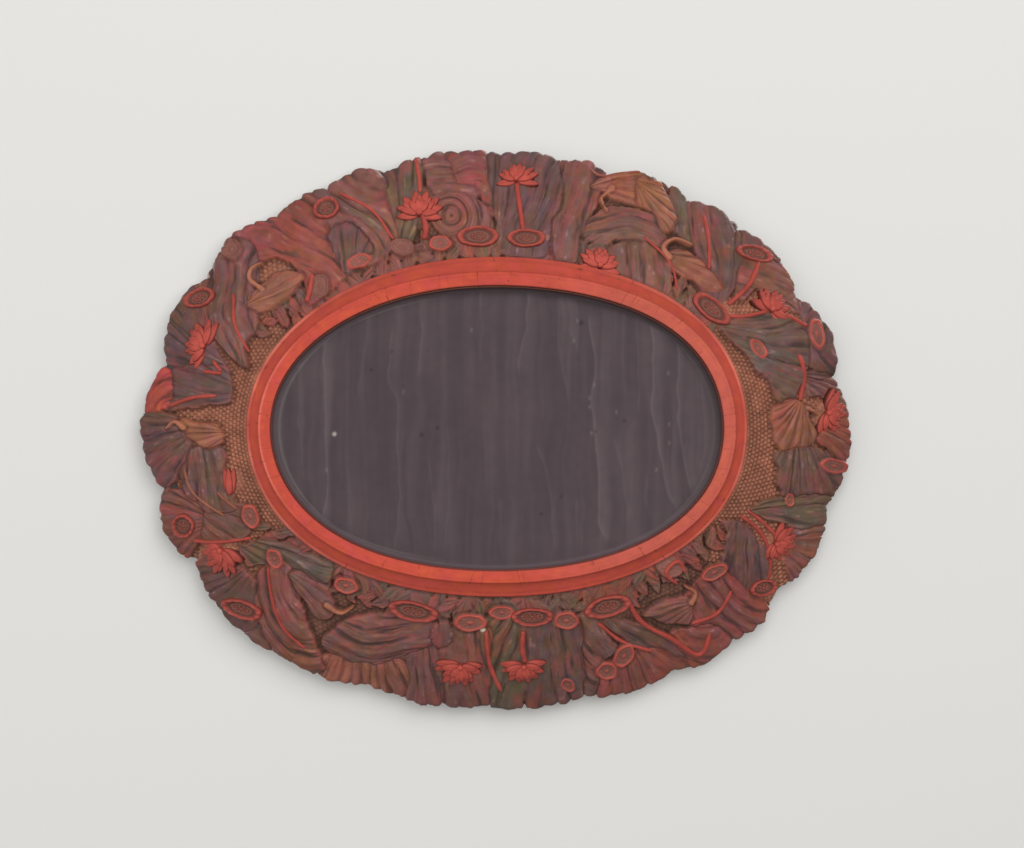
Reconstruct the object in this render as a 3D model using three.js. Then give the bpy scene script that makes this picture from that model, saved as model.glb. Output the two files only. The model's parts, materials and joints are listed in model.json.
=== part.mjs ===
// Oval carved lacquer dish standing on its foot: an assembly of a wooden core and the lacquer
// layers that are built up on it and carved. Millimetres, +Z up, origin under the middle of the foot.
// Angles run anticlockwise as the dish is seen from underneath, from the right-hand end.
import * as THREE from "three";

// Plan sizes, over the whole length and width of each oval.
const RIM_LONG = 236;
const RIM_WIDE = 187.2;
const FOOT_LONG = 166;
const FOOT_WIDE = 111.4;

// Heights above the table.
const HEIGHT = 32;
const RECESS_DEPTH = 4.6;

// Thicknesses of the layers, how far above the table the base's lacquer ends, and its fillet.
const OUTER_LACQUER = 3.2;
const WALL_CORE = 3;
const INNER_LACQUER = 2.4;
const BASE_LACQUER = 1;
const BASE_EDGE = 0.8;
const BASE_FILLET = 1.3;
const BOARD = 4;
const GLUE_GAP = 0.3;

// The foot: width of its flat tread, run of its hollow outer side, the bead along its root, the
// softened edges of the tread, and its lacquer coat.
const TREAD = 4.3;
const SPLAY = 3.9;
const BEAD = 1.4;
const ARRIS = 0.5;
const FOOT_COAT = 1.1;

// Wooden core: edge-glued planks in the board, bent hoops up the wall.
const PLANKS = 5;
const HOOPS = 3;

// Shares of the wall, from 0 at the foot to 1 at the rim: where the hoops start and end, where the inner
// lacquer meets the rim, and how far up the floor's cove runs.
const HOOP_FROM_SHARE = 0.14;
const HOOP_TO_SHARE = 0.83;
const LIP_SHARE = 0.86;
const COVE_SHARE = 0.38;

// Relief of the pleated leaves, the curl of their margins, the scallop of each pleat at the rim, and the
// relief of the blossoms and seed pods left standing on them.
const LEAF_RELIEF = 1.3;
const MARGIN_CURL = 0.5;
const SCALLOP = 0.6;
const BLOOM_RELIEF = 1.4;
const POD_RELIEF = 1.2;

// How much of the way between its notches a leaf covers, at the foot and at the rim.
const LEAF_SHARE_AT_FOOT = 0.42;
const LEAF_SHARE_AT_RIM = 0.95;

// The leaves round the rim: angle of the notch before each leaf in degrees, how far that notch lies
// from the plain oval, how far the leaf's crest lies from it, and how many pleats the leaf has.
const LEAVES = [
  [11, -3.3, 1.4, 3],
  [29, -2.8, 1.6, 3],
  [46, -0.8, 1.3, 2],
  [56.5, -1.7, 1.9, 2],
  [70, -3.3, -0.6, 2],
  [79, -2.3, -0.5, 2],
  [89, -1.6, 0.6, 3],
  [108, -2.7, 0.9, 2],
  [119, -2.0, 0.6, 2],
  [129.5, -1.4, 2.4, 3],
  [146.5, -1.3, 2.0, 3],
  [166.5, -3.9, 1.6, 4],
  [193, -3.1, 1.7, 3],
  [209.5, -2.0, 2.9, 4],
  [235, 1.0, 2.0, 2],
  [248, -1.2, 0.2, 3],
  [268, -1.0, 0.3, 3],
  [285, -1.7, 1.4, 3],
  [300.5, 0.0, 2.6, 2],
  [311.5, 0.4, 2.4, 2],
  [323.5, -1.3, 0.9, 3],
  [343.5, -3.1, 0.9, 4],
];

// Red blossoms left standing on the leaves: angle, place up the wall from foot to rim, and width.
const BLOOMS = [
  [3, 0.79, 12],
  [31, 0.69, 13],
  [67, 0.16, 11],
  [86, 0.74, 12],
  [104, 0.52, 15],
  [160, 0.64, 12],
  [195, 0.25, 8],
  [212, 0.66, 14],
  [263, 0.65, 13],
  [275, 0.63, 11],
  [332, 0.69, 12],
];

// Seed pods, seen as low oval cups: angle, place up the wall, length, width, and how far the length is
// turned from lying along the rim, in degrees.
const PODS = [
  [38, 0.24, 14, 7, -12],
  [41, 0.84, 13, 6, -38],
  [84, 0.24, 12, 6, 0],
  [94, 0.25, 12, 7, 0],
  [121, 0.75, 9, 9, 0],
  [151, 0.8, 11, 7, 40],
  [202, 0.79, 9, 8, 50],
  [222, 0.82, 13, 6, -35],
  [252, 0.25, 16, 7, 5],
  [278, 0.24, 14, 6, 0],
  [294, 0.27, 14, 7, 10],
  [323, 0.8, 11, 6, 45],
];

// How finely the forms are cut.
const STEPS_PER_PLEAT = 3;
const WALL_SHARES = [0, 0.14, 0.32, 0.54, 0.76, 0.9, 1];
const FOOT_COLUMNS = 60;
const CORE_COLUMNS = 40;
const RADIANS = Math.PI / 180;

const mix = (a, b, t) => a + (b - a) * t;
const smooth = (t) => {
  const s = Math.min(1, Math.max(0, t));
  return s * s * (3 - 2 * s);
};

// Half length and half width of the plain oval at a share t of the wall: 0 at the foot, 1 at the rim.
const wallOval = (t) => [mix(FOOT_LONG, RIM_LONG, t) / 2, mix(FOOT_WIDE, RIM_WIDE, t) / 2];

// The same for an oval that lies inside the foot's outer edge by a distance.
const footOval = (inside) => [FOOT_LONG / 2 - inside, FOOT_WIDE / 2 - inside];

// Each leaf with the angles of its two notches and the edge it shares with the next leaf.
const FULL_TURN = 360;
const leaves = LEAVES.map(([from, notch, crest, pleats], i) => {
  const next = LEAVES[(i + 1) % LEAVES.length];
  const to = i + 1 < LEAVES.length ? next[0] : next[0] + FULL_TURN;
  return { from, to, notch, nextNotch: next[1], crest, pleats };
});

// Share of the way between its notches that a leaf covers at a share t of the wall.
const leafCover = (t) => mix(LEAF_SHARE_AT_FOOT, LEAF_SHARE_AT_RIM, smooth(t / 0.8));

// The angle of a line that runs up a leaf: side is -0.5 and 0.5 along the leaf's edges, and 0 in its middle.
const lineAngle = (leaf, side, t) => mix(leaf.from, leaf.to, 0.5 + side * leafCover(t));

// The leaf at an angle in degrees, and how far across that leaf the angle lies.
function leafAt(degrees) {
  const first = leaves[0].from;
  const turned = ((((degrees - first) % FULL_TURN) + FULL_TURN) % FULL_TURN) + first;
  const leaf = leaves.find((each) => turned >= each.from && turned < each.to);
  return { leaf, across: (turned - leaf.from) / (leaf.to - leaf.from) };
}

// How far the leafy outline stands out from the plain oval at the rim.
function leafEdge(degrees) {
  const { leaf, across } = leafAt(degrees);
  const bulge = leaf.crest - (leaf.notch + leaf.nextNotch) / 2;
  const pleat = 0.5 + 0.5 * Math.cos(2 * Math.PI * leaf.pleats * (across - 0.5));
  const plain = mix(leaf.notch, leaf.nextNotch, across) + bulge * Math.sin(Math.PI * across) ** 0.7;
  return plain + SCALLOP * (pleat - 0.5) * Math.sin(Math.PI * across);
}

// Height of a carved leaf above the plain wall: a pillow between its edges, pleated, curled at its margin.
function leafRelief(leaf, side, t) {
  if (Math.abs(side) >= 0.5) return 0;
  const pillow = Math.cos(Math.PI * side) ** 0.4;
  const pleat = 0.5 + 0.5 * Math.cos(2 * Math.PI * leaf.pleats * side);
  const curl = smooth((t - 0.7) / 0.15) * (1 - smooth((t - 0.85) / 0.15));
  return smooth(t / 0.2) * pillow * (LEAF_RELIEF * (0.45 + 0.55 * pleat) + MARGIN_CURL * curl);
}
function reliefAt(degrees, t) {
  const { leaf, across } = leafAt(degrees);
  return leafRelief(leaf, (across - 0.5) / leafCover(t), t);
}

// Heights that follow: the top of the foot, the board on it, the flat floor and the underside of the rim.
const FOOT_TOP = RECESS_DEPTH + BASE_LACQUER;
const FOOT_HEIGHT = FOOT_TOP + GLUE_GAP;
const RIM_UNDERSIDE = HEIGHT - OUTER_LACQUER - WALL_CORE - 2 * GLUE_GAP;
const FLOOR = FOOT_HEIGHT + BOARD + GLUE_GAP + INNER_LACQUER;
const WALL = OUTER_LACQUER + WALL_CORE + INNER_LACQUER + 2 * GLUE_GAP;

// Height of the wall's outer face, and of the inside face, which runs down a cove to the flat floor.
const outerFace = (t) => mix(FOOT_HEIGHT, RIM_UNDERSIDE, 0.55 * t + 0.45 * t * t);
const innerFace = (t) => mix(FLOOR, outerFace(t) + WALL, smooth(t / COVE_SHARE));

// A point at an angle, on an oval, at a height. The outline's leaves show towards the rim.
function at(degrees, [long, wide], z, leafShare = 0) {
  const u = degrees * RADIANS;
  const out = leafShare * leafEdge(degrees);
  return new THREE.Vector3((long + out) * Math.cos(u), -(wide + out) * Math.sin(u), z);
}
const leafShare = (t) => t * t;
const onWall = (degrees, t, z) => at(degrees, wallOval(t), z, leafShare(t));

// A point on the outer face of the wall, raised off it by a distance.
function outerPoint(degrees, t, raised) {
  const step = 0.01;
  const here = onWall(degrees, t, outerFace(t));
  const up = onWall(degrees, t + step, outerFace(t + step)).sub(here);
  const round = at(degrees + 1, wallOval(t), outerFace(t), 0).sub(at(degrees - 1, wallOval(t), outerFace(t), 0));
  const normal = round.cross(up).normalize();
  return here.addScaledVector(normal, normal.z > 0 ? -raised : raised);
}

// Even columns round the oval, as angles in degrees.
const evenColumns = (count) => Array.from({ length: count }, (_, i) => (FULL_TURN * i) / count);

// A closed geometry from its triangles, turned to face outwards.
function closedGeometry(points, triangles) {
  let volume = 0;
  for (const [a, b, c] of triangles) {
    volume += points[a].dot(new THREE.Vector3().crossVectors(points[b], points[c]));
  }
  const faces = volume > 0 ? triangles : triangles.map(([a, b, c]) => [a, c, b]);
  const geometry = new THREE.BufferGeometry().setFromPoints(points);
  geometry.setIndex(faces.flat());
  geometry.computeVertexNormals();
  return geometry;
}

// Sweeps a closed section round the oval. section(column) gives the same number of points each time.
function ringGeometry(columns, section) {
  const points = columns.flatMap(section);
  const triangles = [];
  const n = points.length / columns.length;
  for (let i = 0; i < columns.length; i += 1) {
    const j = (i + 1) % columns.length;
    for (let k = 0; k < n; k += 1) {
      const l = (k + 1) % n;
      triangles.push([i * n + k, i * n + l, j * n + k], [i * n + l, j * n + l, j * n + k]);
    }
  }
  return closedGeometry(points, triangles);
}

// Sweeps an open section round the oval and closes it on the axis at a top and a bottom point.
function discGeometry(columns, section, top, bottom) {
  const points = columns.flatMap(section);
  const triangles = [];
  const n = points.length / columns.length;
  const topIndex = points.push(new THREE.Vector3(0, 0, top)) - 1;
  const bottomIndex = points.push(new THREE.Vector3(0, 0, bottom)) - 1;
  for (let i = 0; i < columns.length; i += 1) {
    const j = (i + 1) % columns.length;
    for (let k = 0; k + 1 < n; k += 1) {
      triangles.push([i * n + k, i * n + k + 1, j * n + k], [i * n + k + 1, j * n + k + 1, j * n + k]);
    }
    triangles.push([topIndex, i * n, j * n], [bottomIndex, j * n + n - 1, i * n + n - 1]);
  }
  return closedGeometry(points, triangles);
}

const material = (color, roughness) => new THREE.MeshStandardMaterial({ color, roughness, metalness: 0 });
const LEAF_LACQUER = material(0x5a3a32, 0.45);
const RED_LACQUER = material(0xb8402f, 0.4);
const FOOT_RED = material(0xbf5442, 0.4);
const BROWN_LACQUER = material(0x4a3d3f, 0.35);
const WOOD = material(0xb08a5a, 0.8);

const dish = new THREE.Group();
function add(name, geometry, finish) {
  const mesh = new THREE.Mesh(geometry, finish);
  mesh.name = name;
  dish.add(mesh);
  return mesh;
}

// The board under the floor: planks whose grain runs across the dish, glued edge to edge.
function plankGeometry(index) {
  const [long, wide] = footOval(GLUE_GAP);
  const from = mix(-long, long, index / PLANKS) + GLUE_GAP / 2;
  const to = mix(-long, long, (index + 1) / PLANKS) - GLUE_GAP / 2;
  const steps = 8;
  const half = (x) => wide * Math.sqrt(Math.max(0, 1 - (x / long) ** 2));
  const edge = [];
  for (let i = 0; i <= steps; i += 1) edge.push(mix(from, to, i / steps));
  const shape = new THREE.Shape(edge.map((x) => new THREE.Vector2(x, half(x))).concat(
    edge.reverse().map((x) => new THREE.Vector2(x, -half(x)))));
  const geometry = new THREE.ExtrudeGeometry(shape, { depth: BOARD, bevelEnabled: false });
  return geometry.translate(0, 0, FOOT_HEIGHT);
}
for (let i = 0; i < PLANKS; i += 1) add(`base_plank_${i + 1}`, plankGeometry(i), WOOD);

// Bent hoops up the wall, between the outer and the inner lacquer. hoopShare gives the share of the wall
// at a count of hoops from the foot.
const WALL_REACH = (RIM_WIDE - FOOT_WIDE) / 2;
const hoopShare = (count) => mix(HOOP_FROM_SHARE, HOOP_TO_SHARE, count / HOOPS);
function hoopGeometry(index) {
  const half = GLUE_GAP / 2 / WALL_REACH;
  const from = hoopShare(index) + half;
  const to = hoopShare(index + 1) - half;
  const under = (t) => outerFace(t) + OUTER_LACQUER + GLUE_GAP;
  const over = (t) => innerFace(t) - INNER_LACQUER - GLUE_GAP;
  const middle = (from + to) / 2;
  return ringGeometry(evenColumns(CORE_COLUMNS), (degrees) => [
    ...[from, middle, to].map((t) => at(degrees, wallOval(t), under(t))),
    ...[to, middle, from].map((t) => at(degrees, wallOval(t), over(t))),
  ]);
}
for (let i = 0; i < HOOPS; i += 1) add(`wall_hoop_${i + 1}`, hoopGeometry(i), WOOD);

// The foot: a bent hoop of wood with a red coat over its tread and its hollow outer side.
const footCore = ringGeometry(evenColumns(CORE_COLUMNS), (degrees) => [
  at(degrees, footOval(SPLAY + TREAD - FOOT_COAT), FOOT_COAT + GLUE_GAP),
  at(degrees, footOval(SPLAY + FOOT_COAT), FOOT_COAT + GLUE_GAP),
  at(degrees, footOval(FOOT_COAT + BEAD), FOOT_TOP - GLUE_GAP),
  at(degrees, footOval(SPLAY + TREAD - FOOT_COAT), FOOT_TOP - GLUE_GAP),
]);
add("foot_hoop", footCore, WOOD);

function footLacquerSection(degrees) {
  const hollow = [0.35, 0.7, 1].map((s) => at(
    degrees, footOval(mix(SPLAY, BEAD / 2, s ** 1.5)), mix(ARRIS, FOOT_TOP - BEAD, s)));
  return [
    at(degrees, footOval(SPLAY + TREAD), ARRIS),
    at(degrees, footOval(SPLAY + TREAD - ARRIS), 0),
    at(degrees, footOval(SPLAY + ARRIS), 0),
    at(degrees, footOval(SPLAY), ARRIS),
    ...hollow,
    at(degrees, footOval(0), FOOT_TOP - BEAD / 2),
    at(degrees, footOval(BEAD / 4), FOOT_TOP),
    at(degrees, footOval(FOOT_COAT + BEAD - GLUE_GAP), FOOT_TOP),
    at(degrees, footOval(SPLAY + FOOT_COAT - GLUE_GAP), FOOT_COAT),
    at(degrees, footOval(SPLAY + TREAD - FOOT_COAT + GLUE_GAP), FOOT_COAT),
    at(degrees, footOval(SPLAY + TREAD - FOOT_COAT + GLUE_GAP), FOOT_TOP - GLUE_GAP),
    at(degrees, footOval(SPLAY + TREAD), FOOT_TOP - GLUE_GAP),
  ];
}
add("foot_lacquer", ringGeometry(evenColumns(FOOT_COLUMNS), footLacquerSection), FOOT_RED);

// The plain brown lacquer of the base, inside the foot, turned down the foot's inner side in a fillet.
const baseEdge = SPLAY + TREAD + GLUE_GAP;
const baseLacquer = discGeometry(evenColumns(FOOT_COLUMNS), (degrees) => [
  at(degrees, footOval(baseEdge), FOOT_TOP),
  at(degrees, footOval(baseEdge), BASE_EDGE),
  at(degrees, footOval(baseEdge + BASE_LACQUER / 2), BASE_EDGE),
  at(degrees, footOval(baseEdge + BASE_LACQUER), RECESS_DEPTH - BASE_FILLET),
  at(degrees, footOval(baseEdge + BASE_LACQUER + BASE_FILLET), RECESS_DEPTH),
], FOOT_TOP, RECESS_DEPTH);
add("base_lacquer", baseLacquer, BROWN_LACQUER);

// The outer lacquer: the carved leaves under the wall, and the rim. Its columns follow the pleats of each
// leaf, with one in the notch between two leaves.
const leafLines = leaves.flatMap((leaf) => {
  const steps = leaf.pleats * STEPS_PER_PLEAT;
  const lines = [{ leaf, side: 0, notch: true }];
  for (let i = 0; i <= steps; i += 1) lines.push({ leaf, side: i / steps - 0.5, notch: false });
  return lines;
});
const outerLacquer = ringGeometry(leafLines, ({ leaf, side, notch }) => {
  const angle = (t) => (notch ? leaf.from : lineAngle(leaf, side, t));
  const relief = (t) => (notch ? 0 : leafRelief(leaf, side, t));
  const back = (t) => at(angle(1), wallOval(t), outerFace(t) + OUTER_LACQUER);
  const lip = LIP_SHARE + 0.01;
  return [
    ...WALL_SHARES.map((t) => outerPoint(angle(t), t, relief(t))),
    onWall(angle(1), 1.01, mix(RIM_UNDERSIDE, HEIGHT, 0.5)),
    onWall(angle(1), 1, HEIGHT - 1),
    onWall(angle(1), 0.98, HEIGHT),
    at(angle(1), wallOval(lip), HEIGHT - 0.6),
    back(lip), back(0.6), back(0.3), back(0),
  ];
});
add("outer_lacquer", outerLacquer, LEAF_LACQUER);

// The inner lacquer: the wall inside the rim, the cove and the floor.
const innerLacquer = discGeometry(evenColumns(CORE_COLUMNS), (degrees) => [
  ...[0, 0.12, 0.24, 0.38, 0.6, 0.8].map((t) => at(degrees, wallOval(t), innerFace(t))),
  at(degrees, wallOval(LIP_SHARE), HEIGHT - 0.9),
  ...[LIP_SHARE, ...[3, 2, 1.5, 1, 0.5, 0].map(hoopShare), 0].map(
    (t) => at(degrees, wallOval(t), innerFace(t) - INNER_LACQUER)),
], FLOOR, FLOOR - INNER_LACQUER);
add("inner_lacquer", innerLacquer, LEAF_LACQUER);

// A pad that follows the leaves it stands on. outline(turn) is its half width at a turn round its middle,
// as a pair along the rim and up the wall; rings are pairs of a share of that width and a height.
const WALL_RUN = Math.hypot(WALL_REACH, RIM_UNDERSIDE - FOOT_HEIGHT);
function padGeometry(angle, place, steps, outline, rings, middle) {
  const [long, wide] = wallOval(place);
  const perDegree = Math.hypot(long * Math.sin(angle * RADIANS), wide * Math.cos(angle * RADIANS)) * RADIANS;
  const turns = Array.from({ length: steps }, (_, i) => (2 * Math.PI * i) / steps);
  const foot = (turn, share) => {
    const [along, up] = outline(turn);
    return [angle + (share * along) / perDegree, place + (share * up) / WALL_RUN];
  };
  const samples = turns.flatMap((turn) => [0, 0.25, 0.5, 0.75, 1].map((share) => foot(turn, share)));
  const seat = Math.max(...samples.map((spot) => reliefAt(...spot))) + GLUE_GAP;
  const spot = (turn, share, raised) => outerPoint(...foot(turn, share), seat + raised);
  const points = rings.flatMap(([share, raised]) => turns.map((turn) => spot(turn, share, raised)));
  const low = points.push(spot(0, 0, 0)) - 1;
  const high = points.push(spot(0, 0, middle)) - 1;
  const triangles = [];
  const last = (rings.length - 1) * steps;
  for (let i = 0; i < steps; i += 1) {
    const j = (i + 1) % steps;
    for (let k = 0; k + 1 < rings.length; k += 1) {
      triangles.push([k * steps + i, k * steps + j, (k + 1) * steps + i]);
      triangles.push([k * steps + j, (k + 1) * steps + j, (k + 1) * steps + i]);
    }
    triangles.push([low, j, i], [high, last + i, last + j]);
  }
  return closedGeometry(points, triangles);
}

// A red blossom: six petals round a raised heart.
const PETALS = 6;
function bloomGeometry([angle, place, width]) {
  const outline = (turn) => {
    const reach = width * (0.42 + 0.08 * Math.cos(PETALS * turn));
    return [reach * Math.cos(turn), reach * Math.sin(turn)];
  };
  const rings = [[1, 0], [1, 0.7 * BLOOM_RELIEF], [0.55, BLOOM_RELIEF]];
  return padGeometry(angle, place, PETALS * 3, outline, rings, BLOOM_RELIEF);
}
BLOOMS.forEach((bloom, i) => add(`red_bloom_${i + 1}`, bloomGeometry(bloom), RED_LACQUER));

// A seed pod: a raised oval lip round a sunk middle.
function podGeometry([angle, place, long, wide, turned]) {
  const [c, s] = [Math.cos(turned * RADIANS), Math.sin(turned * RADIANS)];
  const outline = (turn) => {
    const [x, y] = [(long / 2) * Math.cos(turn), (wide / 2) * Math.sin(turn)];
    return [x * c - y * s, x * s + y * c];
  };
  const rings = [[1, 0], [1, 0.6 * POD_RELIEF], [0.88, POD_RELIEF], [0.7, POD_RELIEF], [0.55, 0.4 * POD_RELIEF]];
  return padGeometry(angle, place, 12, outline, rings, 0.4 * POD_RELIEF);
}
PODS.forEach((pod, i) => add(`seed_pod_${i + 1}`, podGeometry(pod), RED_LACQUER));

export default dish;
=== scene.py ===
# Oval carved lacquer dish, seen from underneath as it lies face down on a pale sheet.
import json
import math

import bpy
import numpy as np
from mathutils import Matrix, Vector

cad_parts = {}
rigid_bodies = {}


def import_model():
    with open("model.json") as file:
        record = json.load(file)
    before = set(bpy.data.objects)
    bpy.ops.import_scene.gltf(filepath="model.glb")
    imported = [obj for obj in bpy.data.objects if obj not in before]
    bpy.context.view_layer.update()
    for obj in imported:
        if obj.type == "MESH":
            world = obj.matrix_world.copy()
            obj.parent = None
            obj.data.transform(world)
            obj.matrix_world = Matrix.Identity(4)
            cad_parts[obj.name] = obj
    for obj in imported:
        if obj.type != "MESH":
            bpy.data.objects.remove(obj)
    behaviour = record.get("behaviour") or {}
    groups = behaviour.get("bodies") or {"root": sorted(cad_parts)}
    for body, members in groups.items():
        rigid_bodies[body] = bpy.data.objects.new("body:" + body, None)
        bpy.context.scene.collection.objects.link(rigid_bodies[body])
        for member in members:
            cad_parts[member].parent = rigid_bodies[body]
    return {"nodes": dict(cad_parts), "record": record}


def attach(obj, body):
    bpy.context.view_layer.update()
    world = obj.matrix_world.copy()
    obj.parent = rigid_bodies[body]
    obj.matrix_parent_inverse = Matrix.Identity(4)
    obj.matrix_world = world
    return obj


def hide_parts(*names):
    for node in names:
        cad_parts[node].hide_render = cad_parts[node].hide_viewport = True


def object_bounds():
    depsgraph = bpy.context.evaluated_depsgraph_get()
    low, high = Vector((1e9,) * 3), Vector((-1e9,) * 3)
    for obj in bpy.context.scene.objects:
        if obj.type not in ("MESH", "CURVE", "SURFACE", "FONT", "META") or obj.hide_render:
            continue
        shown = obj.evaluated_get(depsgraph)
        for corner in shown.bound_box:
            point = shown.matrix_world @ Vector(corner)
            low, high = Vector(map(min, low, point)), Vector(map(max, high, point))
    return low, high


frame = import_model()
cad_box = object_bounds()
low, high = cad_box
MM = 0.001

# The photograph's frame, in metres: its width at the rim's plane, the camera's distance, where its middle
# falls, and how far to the left of that the camera stands.
VIEW_WIDTH = 0.345
VIEW_DISTANCE = 1.6
VIEW_MIDDLE = (0.0056, -0.0015)
VIEW_ASIDE = 0.037
SENSOR = 36.0

# The dish's own sizes, in millimetres, as its solids have them.
FOOT_OVAL = (83.0, 55.7)
RIM_OVAL = (118.0, 93.6)
HEIGHT = 32.0
FOOT_HEIGHT = 5.9
FOOT_TOP = 5.6
RECESS_DEPTH = 4.6
RIM_UNDERSIDE = 25.2
FLOOR = 12.6
WALL = 9.2
OUTER_LACQUER = 3.2
INNER_LACQUER = 2.4
LIP_SHARE = 0.87
COVE_SHARE = 0.38
LIP_HEIGHT = 31.2
MID_WALL = (100, 74)
FOOT_RADIUS = 75
FLOOR_RADIUS = 70
TREAD = 4.3
SPLAY = 3.9
BEAD = 1.4

# The leaves round the rim: angle of the notch before each, how far that notch and the leaf's crest lie
# from the plain oval, and how many pleats it has. Angles run anticlockwise as seen from underneath.
LEAVES = [
    (11, -3.3, 1.4, 3), (29, -2.8, 1.6, 3), (46, -0.8, 1.3, 2), (56.5, -1.7, 1.9, 2), (70, -3.3, -0.6, 2),
    (79, -2.3, -0.5, 2), (89, -1.6, 0.6, 3), (108, -2.7, 0.9, 2), (119, -2.0, 0.6, 2), (129.5, -1.4, 2.4, 3),
    (146.5, -1.3, 2.0, 3), (166.5, -3.9, 1.6, 4), (193, -3.1, 1.7, 3), (209.5, -2.0, 2.9, 4),
    (235, 1.0, 2.0, 2), (248, -1.2, 0.2, 3), (268, -1.0, 0.3, 3), (285, -1.7, 1.4, 3), (300.5, 0.0, 2.6, 2),
    (311.5, 0.4, 2.4, 2), (323.5, -1.3, 0.9, 3), (343.5, -3.1, 0.9, 4),
]
SCALLOP = 0.6
CARVED_BACK = 1.1
# How much fuller than a true oval the foot is: all round, more on the right, more on two diagonals, and
# less at the top.
FULLNESS = (0.0245, 0.0085, 0.006, 0.0035)

# Places on the carved wall are given on a plan seen from underneath at the rim's plane: one unit of it is
# PLAN_UNIT millimetres, and the middle of the dish is at PLAN_MIDDLE.
PLAN_UNIT = 0.337
PLAN_MIDDLE = (495.5, 428.5)

# The bricks of the patterned ground, on the outside half-way up the wall, in millimetres.
BRICK_WIDE, BRICK_HIGH, WALL_RISE = 1.8, 1.5, 42

# How large a seed of a pod is, and a pearl of the ground.
SEED_SIZE = 0.42
PEARL_SIZE = 0.25

# The room's paleness: its table, its sheet and its walls.
ROOM = (225, 224, 221)


def srgb(red, green, blue):
    """A colour given as it looks on a screen, 0 to 255, as the linear colour that shaders take."""
    def linear(value):
        value = value / 255
        return value / 12.92 if value <= 0.04045 else ((value + 0.055) / 1.055) ** 2.4
    return (linear(red), linear(green), linear(blue), 1.0)


def tone(red, green, blue):
    """The same colour without its fourth value, for mixing."""
    return np.array(srgb(red, green, blue)[:3])


def mix(a, b, share):
    return a + (b - a) * share


def ease(x):
    """0 to 1, smoothly, as x goes from 0 to 1."""
    x = np.clip(x, 0, 1)
    return x * x * (3 - 2 * x)


def cloud(u, v, size, seed):
    """Soft random values from -1 to 1 over a plane, with blotches of a size."""
    grid = np.random.RandomState(seed).uniform(-1, 1, (64, 64))
    x, y = u / size, v / size
    column, row = np.floor(x).astype(int), np.floor(y).astype(int)
    sx, sy = ease(x - column), ease(y - row)
    def at(dx, dy):
        return grid[(column + dx) % 64, (row + dy) % 64]
    return mix(mix(at(0, 0), at(1, 0), sx), mix(at(0, 1), at(1, 1), sx), sy)


# The lacquers that the carving cuts through, from the top of a ridge down: the two tones that ridges take,
# the thin layers that show on its side, and the tone at the bottom of a cut.
LACQUERS = {
    "umber": ((135, 85, 74), (114, 83, 73), (138, 74, 66), (100, 74, 67), (80, 57, 53)),
    "plum": ((118, 79, 74), (104, 78, 73), (121, 71, 66), (91, 71, 68), (74, 56, 55)),
    "russet": ((151, 78, 68), (127, 79, 70), (154, 70, 62), (107, 73, 66), (88, 56, 52)),
    "moss": ((116, 89, 74), (102, 85, 72), (116, 78, 67), (90, 75, 65), (74, 58, 53)),
    "ochre": ((164, 101, 77), (148, 92, 72), (148, 81, 64), (124, 80, 64), (100, 63, 52)),
    "scarlet": ((196, 82, 69), (181, 77, 66), (166, 67, 58), (138, 61, 54), (108, 52, 46)),
    "ground": ((166, 105, 79), (152, 95, 72), (138, 81, 64), (124, 76, 61), (108, 66, 54)),
}
LACQUERS = {name: np.array([tone(*coat) for coat in coats]) for name, coats in LACQUERS.items()}
LAYER_DEPTHS = (0.0, 0.14, 0.3, 0.5, 1.0)
RUBBED = tone(184, 134, 118)


def layered(lacquer, up, pick):
    """The colour where a cut lies a share up of the way from its bottom to the ridge."""
    top, other, thin, under, deep = LACQUERS[lacquer]
    crest = mix(top, other, pick[:, None])
    coats = [np.broadcast_to(coat, crest.shape) for coat in (deep, under, thin)] + [crest, crest]
    colour = coats[0]
    for depth, before, coat in zip(LAYER_DEPTHS[1:], LAYER_DEPTHS, coats[1:]):
        colour = mix(colour, coat, ease((up - before) / (depth - before))[:, None])
    return colour


# The surface of the wall.

def leaf_edge(degrees):
    """How far the leafy outline stands out from the plain oval at the rim."""
    starts = np.array([row[0] for row in LEAVES], float)
    notch, crest, pleats = (np.array([row[i] for row in LEAVES], float) for i in (1, 2, 3))
    turned = (degrees - starts[0]) % 360 + starts[0]
    here = np.searchsorted(starts, turned, side="right") - 1
    ends = np.append(starts[1:], starts[0] + 360)
    across = (turned - starts[here]) / (ends[here] - starts[here])
    after = np.roll(notch, -1)[here]
    bulge = crest[here] - (notch[here] + after) / 2
    arch = np.sin(math.pi * across)
    pleat = 0.5 + 0.5 * np.cos(2 * math.pi * pleats[here] * (across - 0.5))
    uneven = 0.8 * np.cos(np.radians(degrees - 150))
    edge = mix(notch[here], after, across) + bulge * arch ** 0.7 + SCALLOP * (pleat - 0.5) * arch
    return edge - CARVED_BACK - uneven


def fine_scallops(degrees):
    """Small bumps of the leaf margins along the rim, stronger in some places than in others."""
    bumps = np.abs(np.sin(np.radians(degrees) * 76 + 1.5 * np.sin(np.radians(degrees) * 5)))
    return (0.25 + 0.45 * ease(0.5 + 0.8 * cloud(degrees, 0 * degrees, 9, 3))) * (bumps - 0.6)


def outer_face(t):
    return mix(FOOT_HEIGHT, RIM_UNDERSIDE, 0.55 * t + 0.45 * t * t)


def inner_face(t):
    return mix(FLOOR, outer_face(t) + WALL, ease(t / COVE_SHARE))


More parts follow.
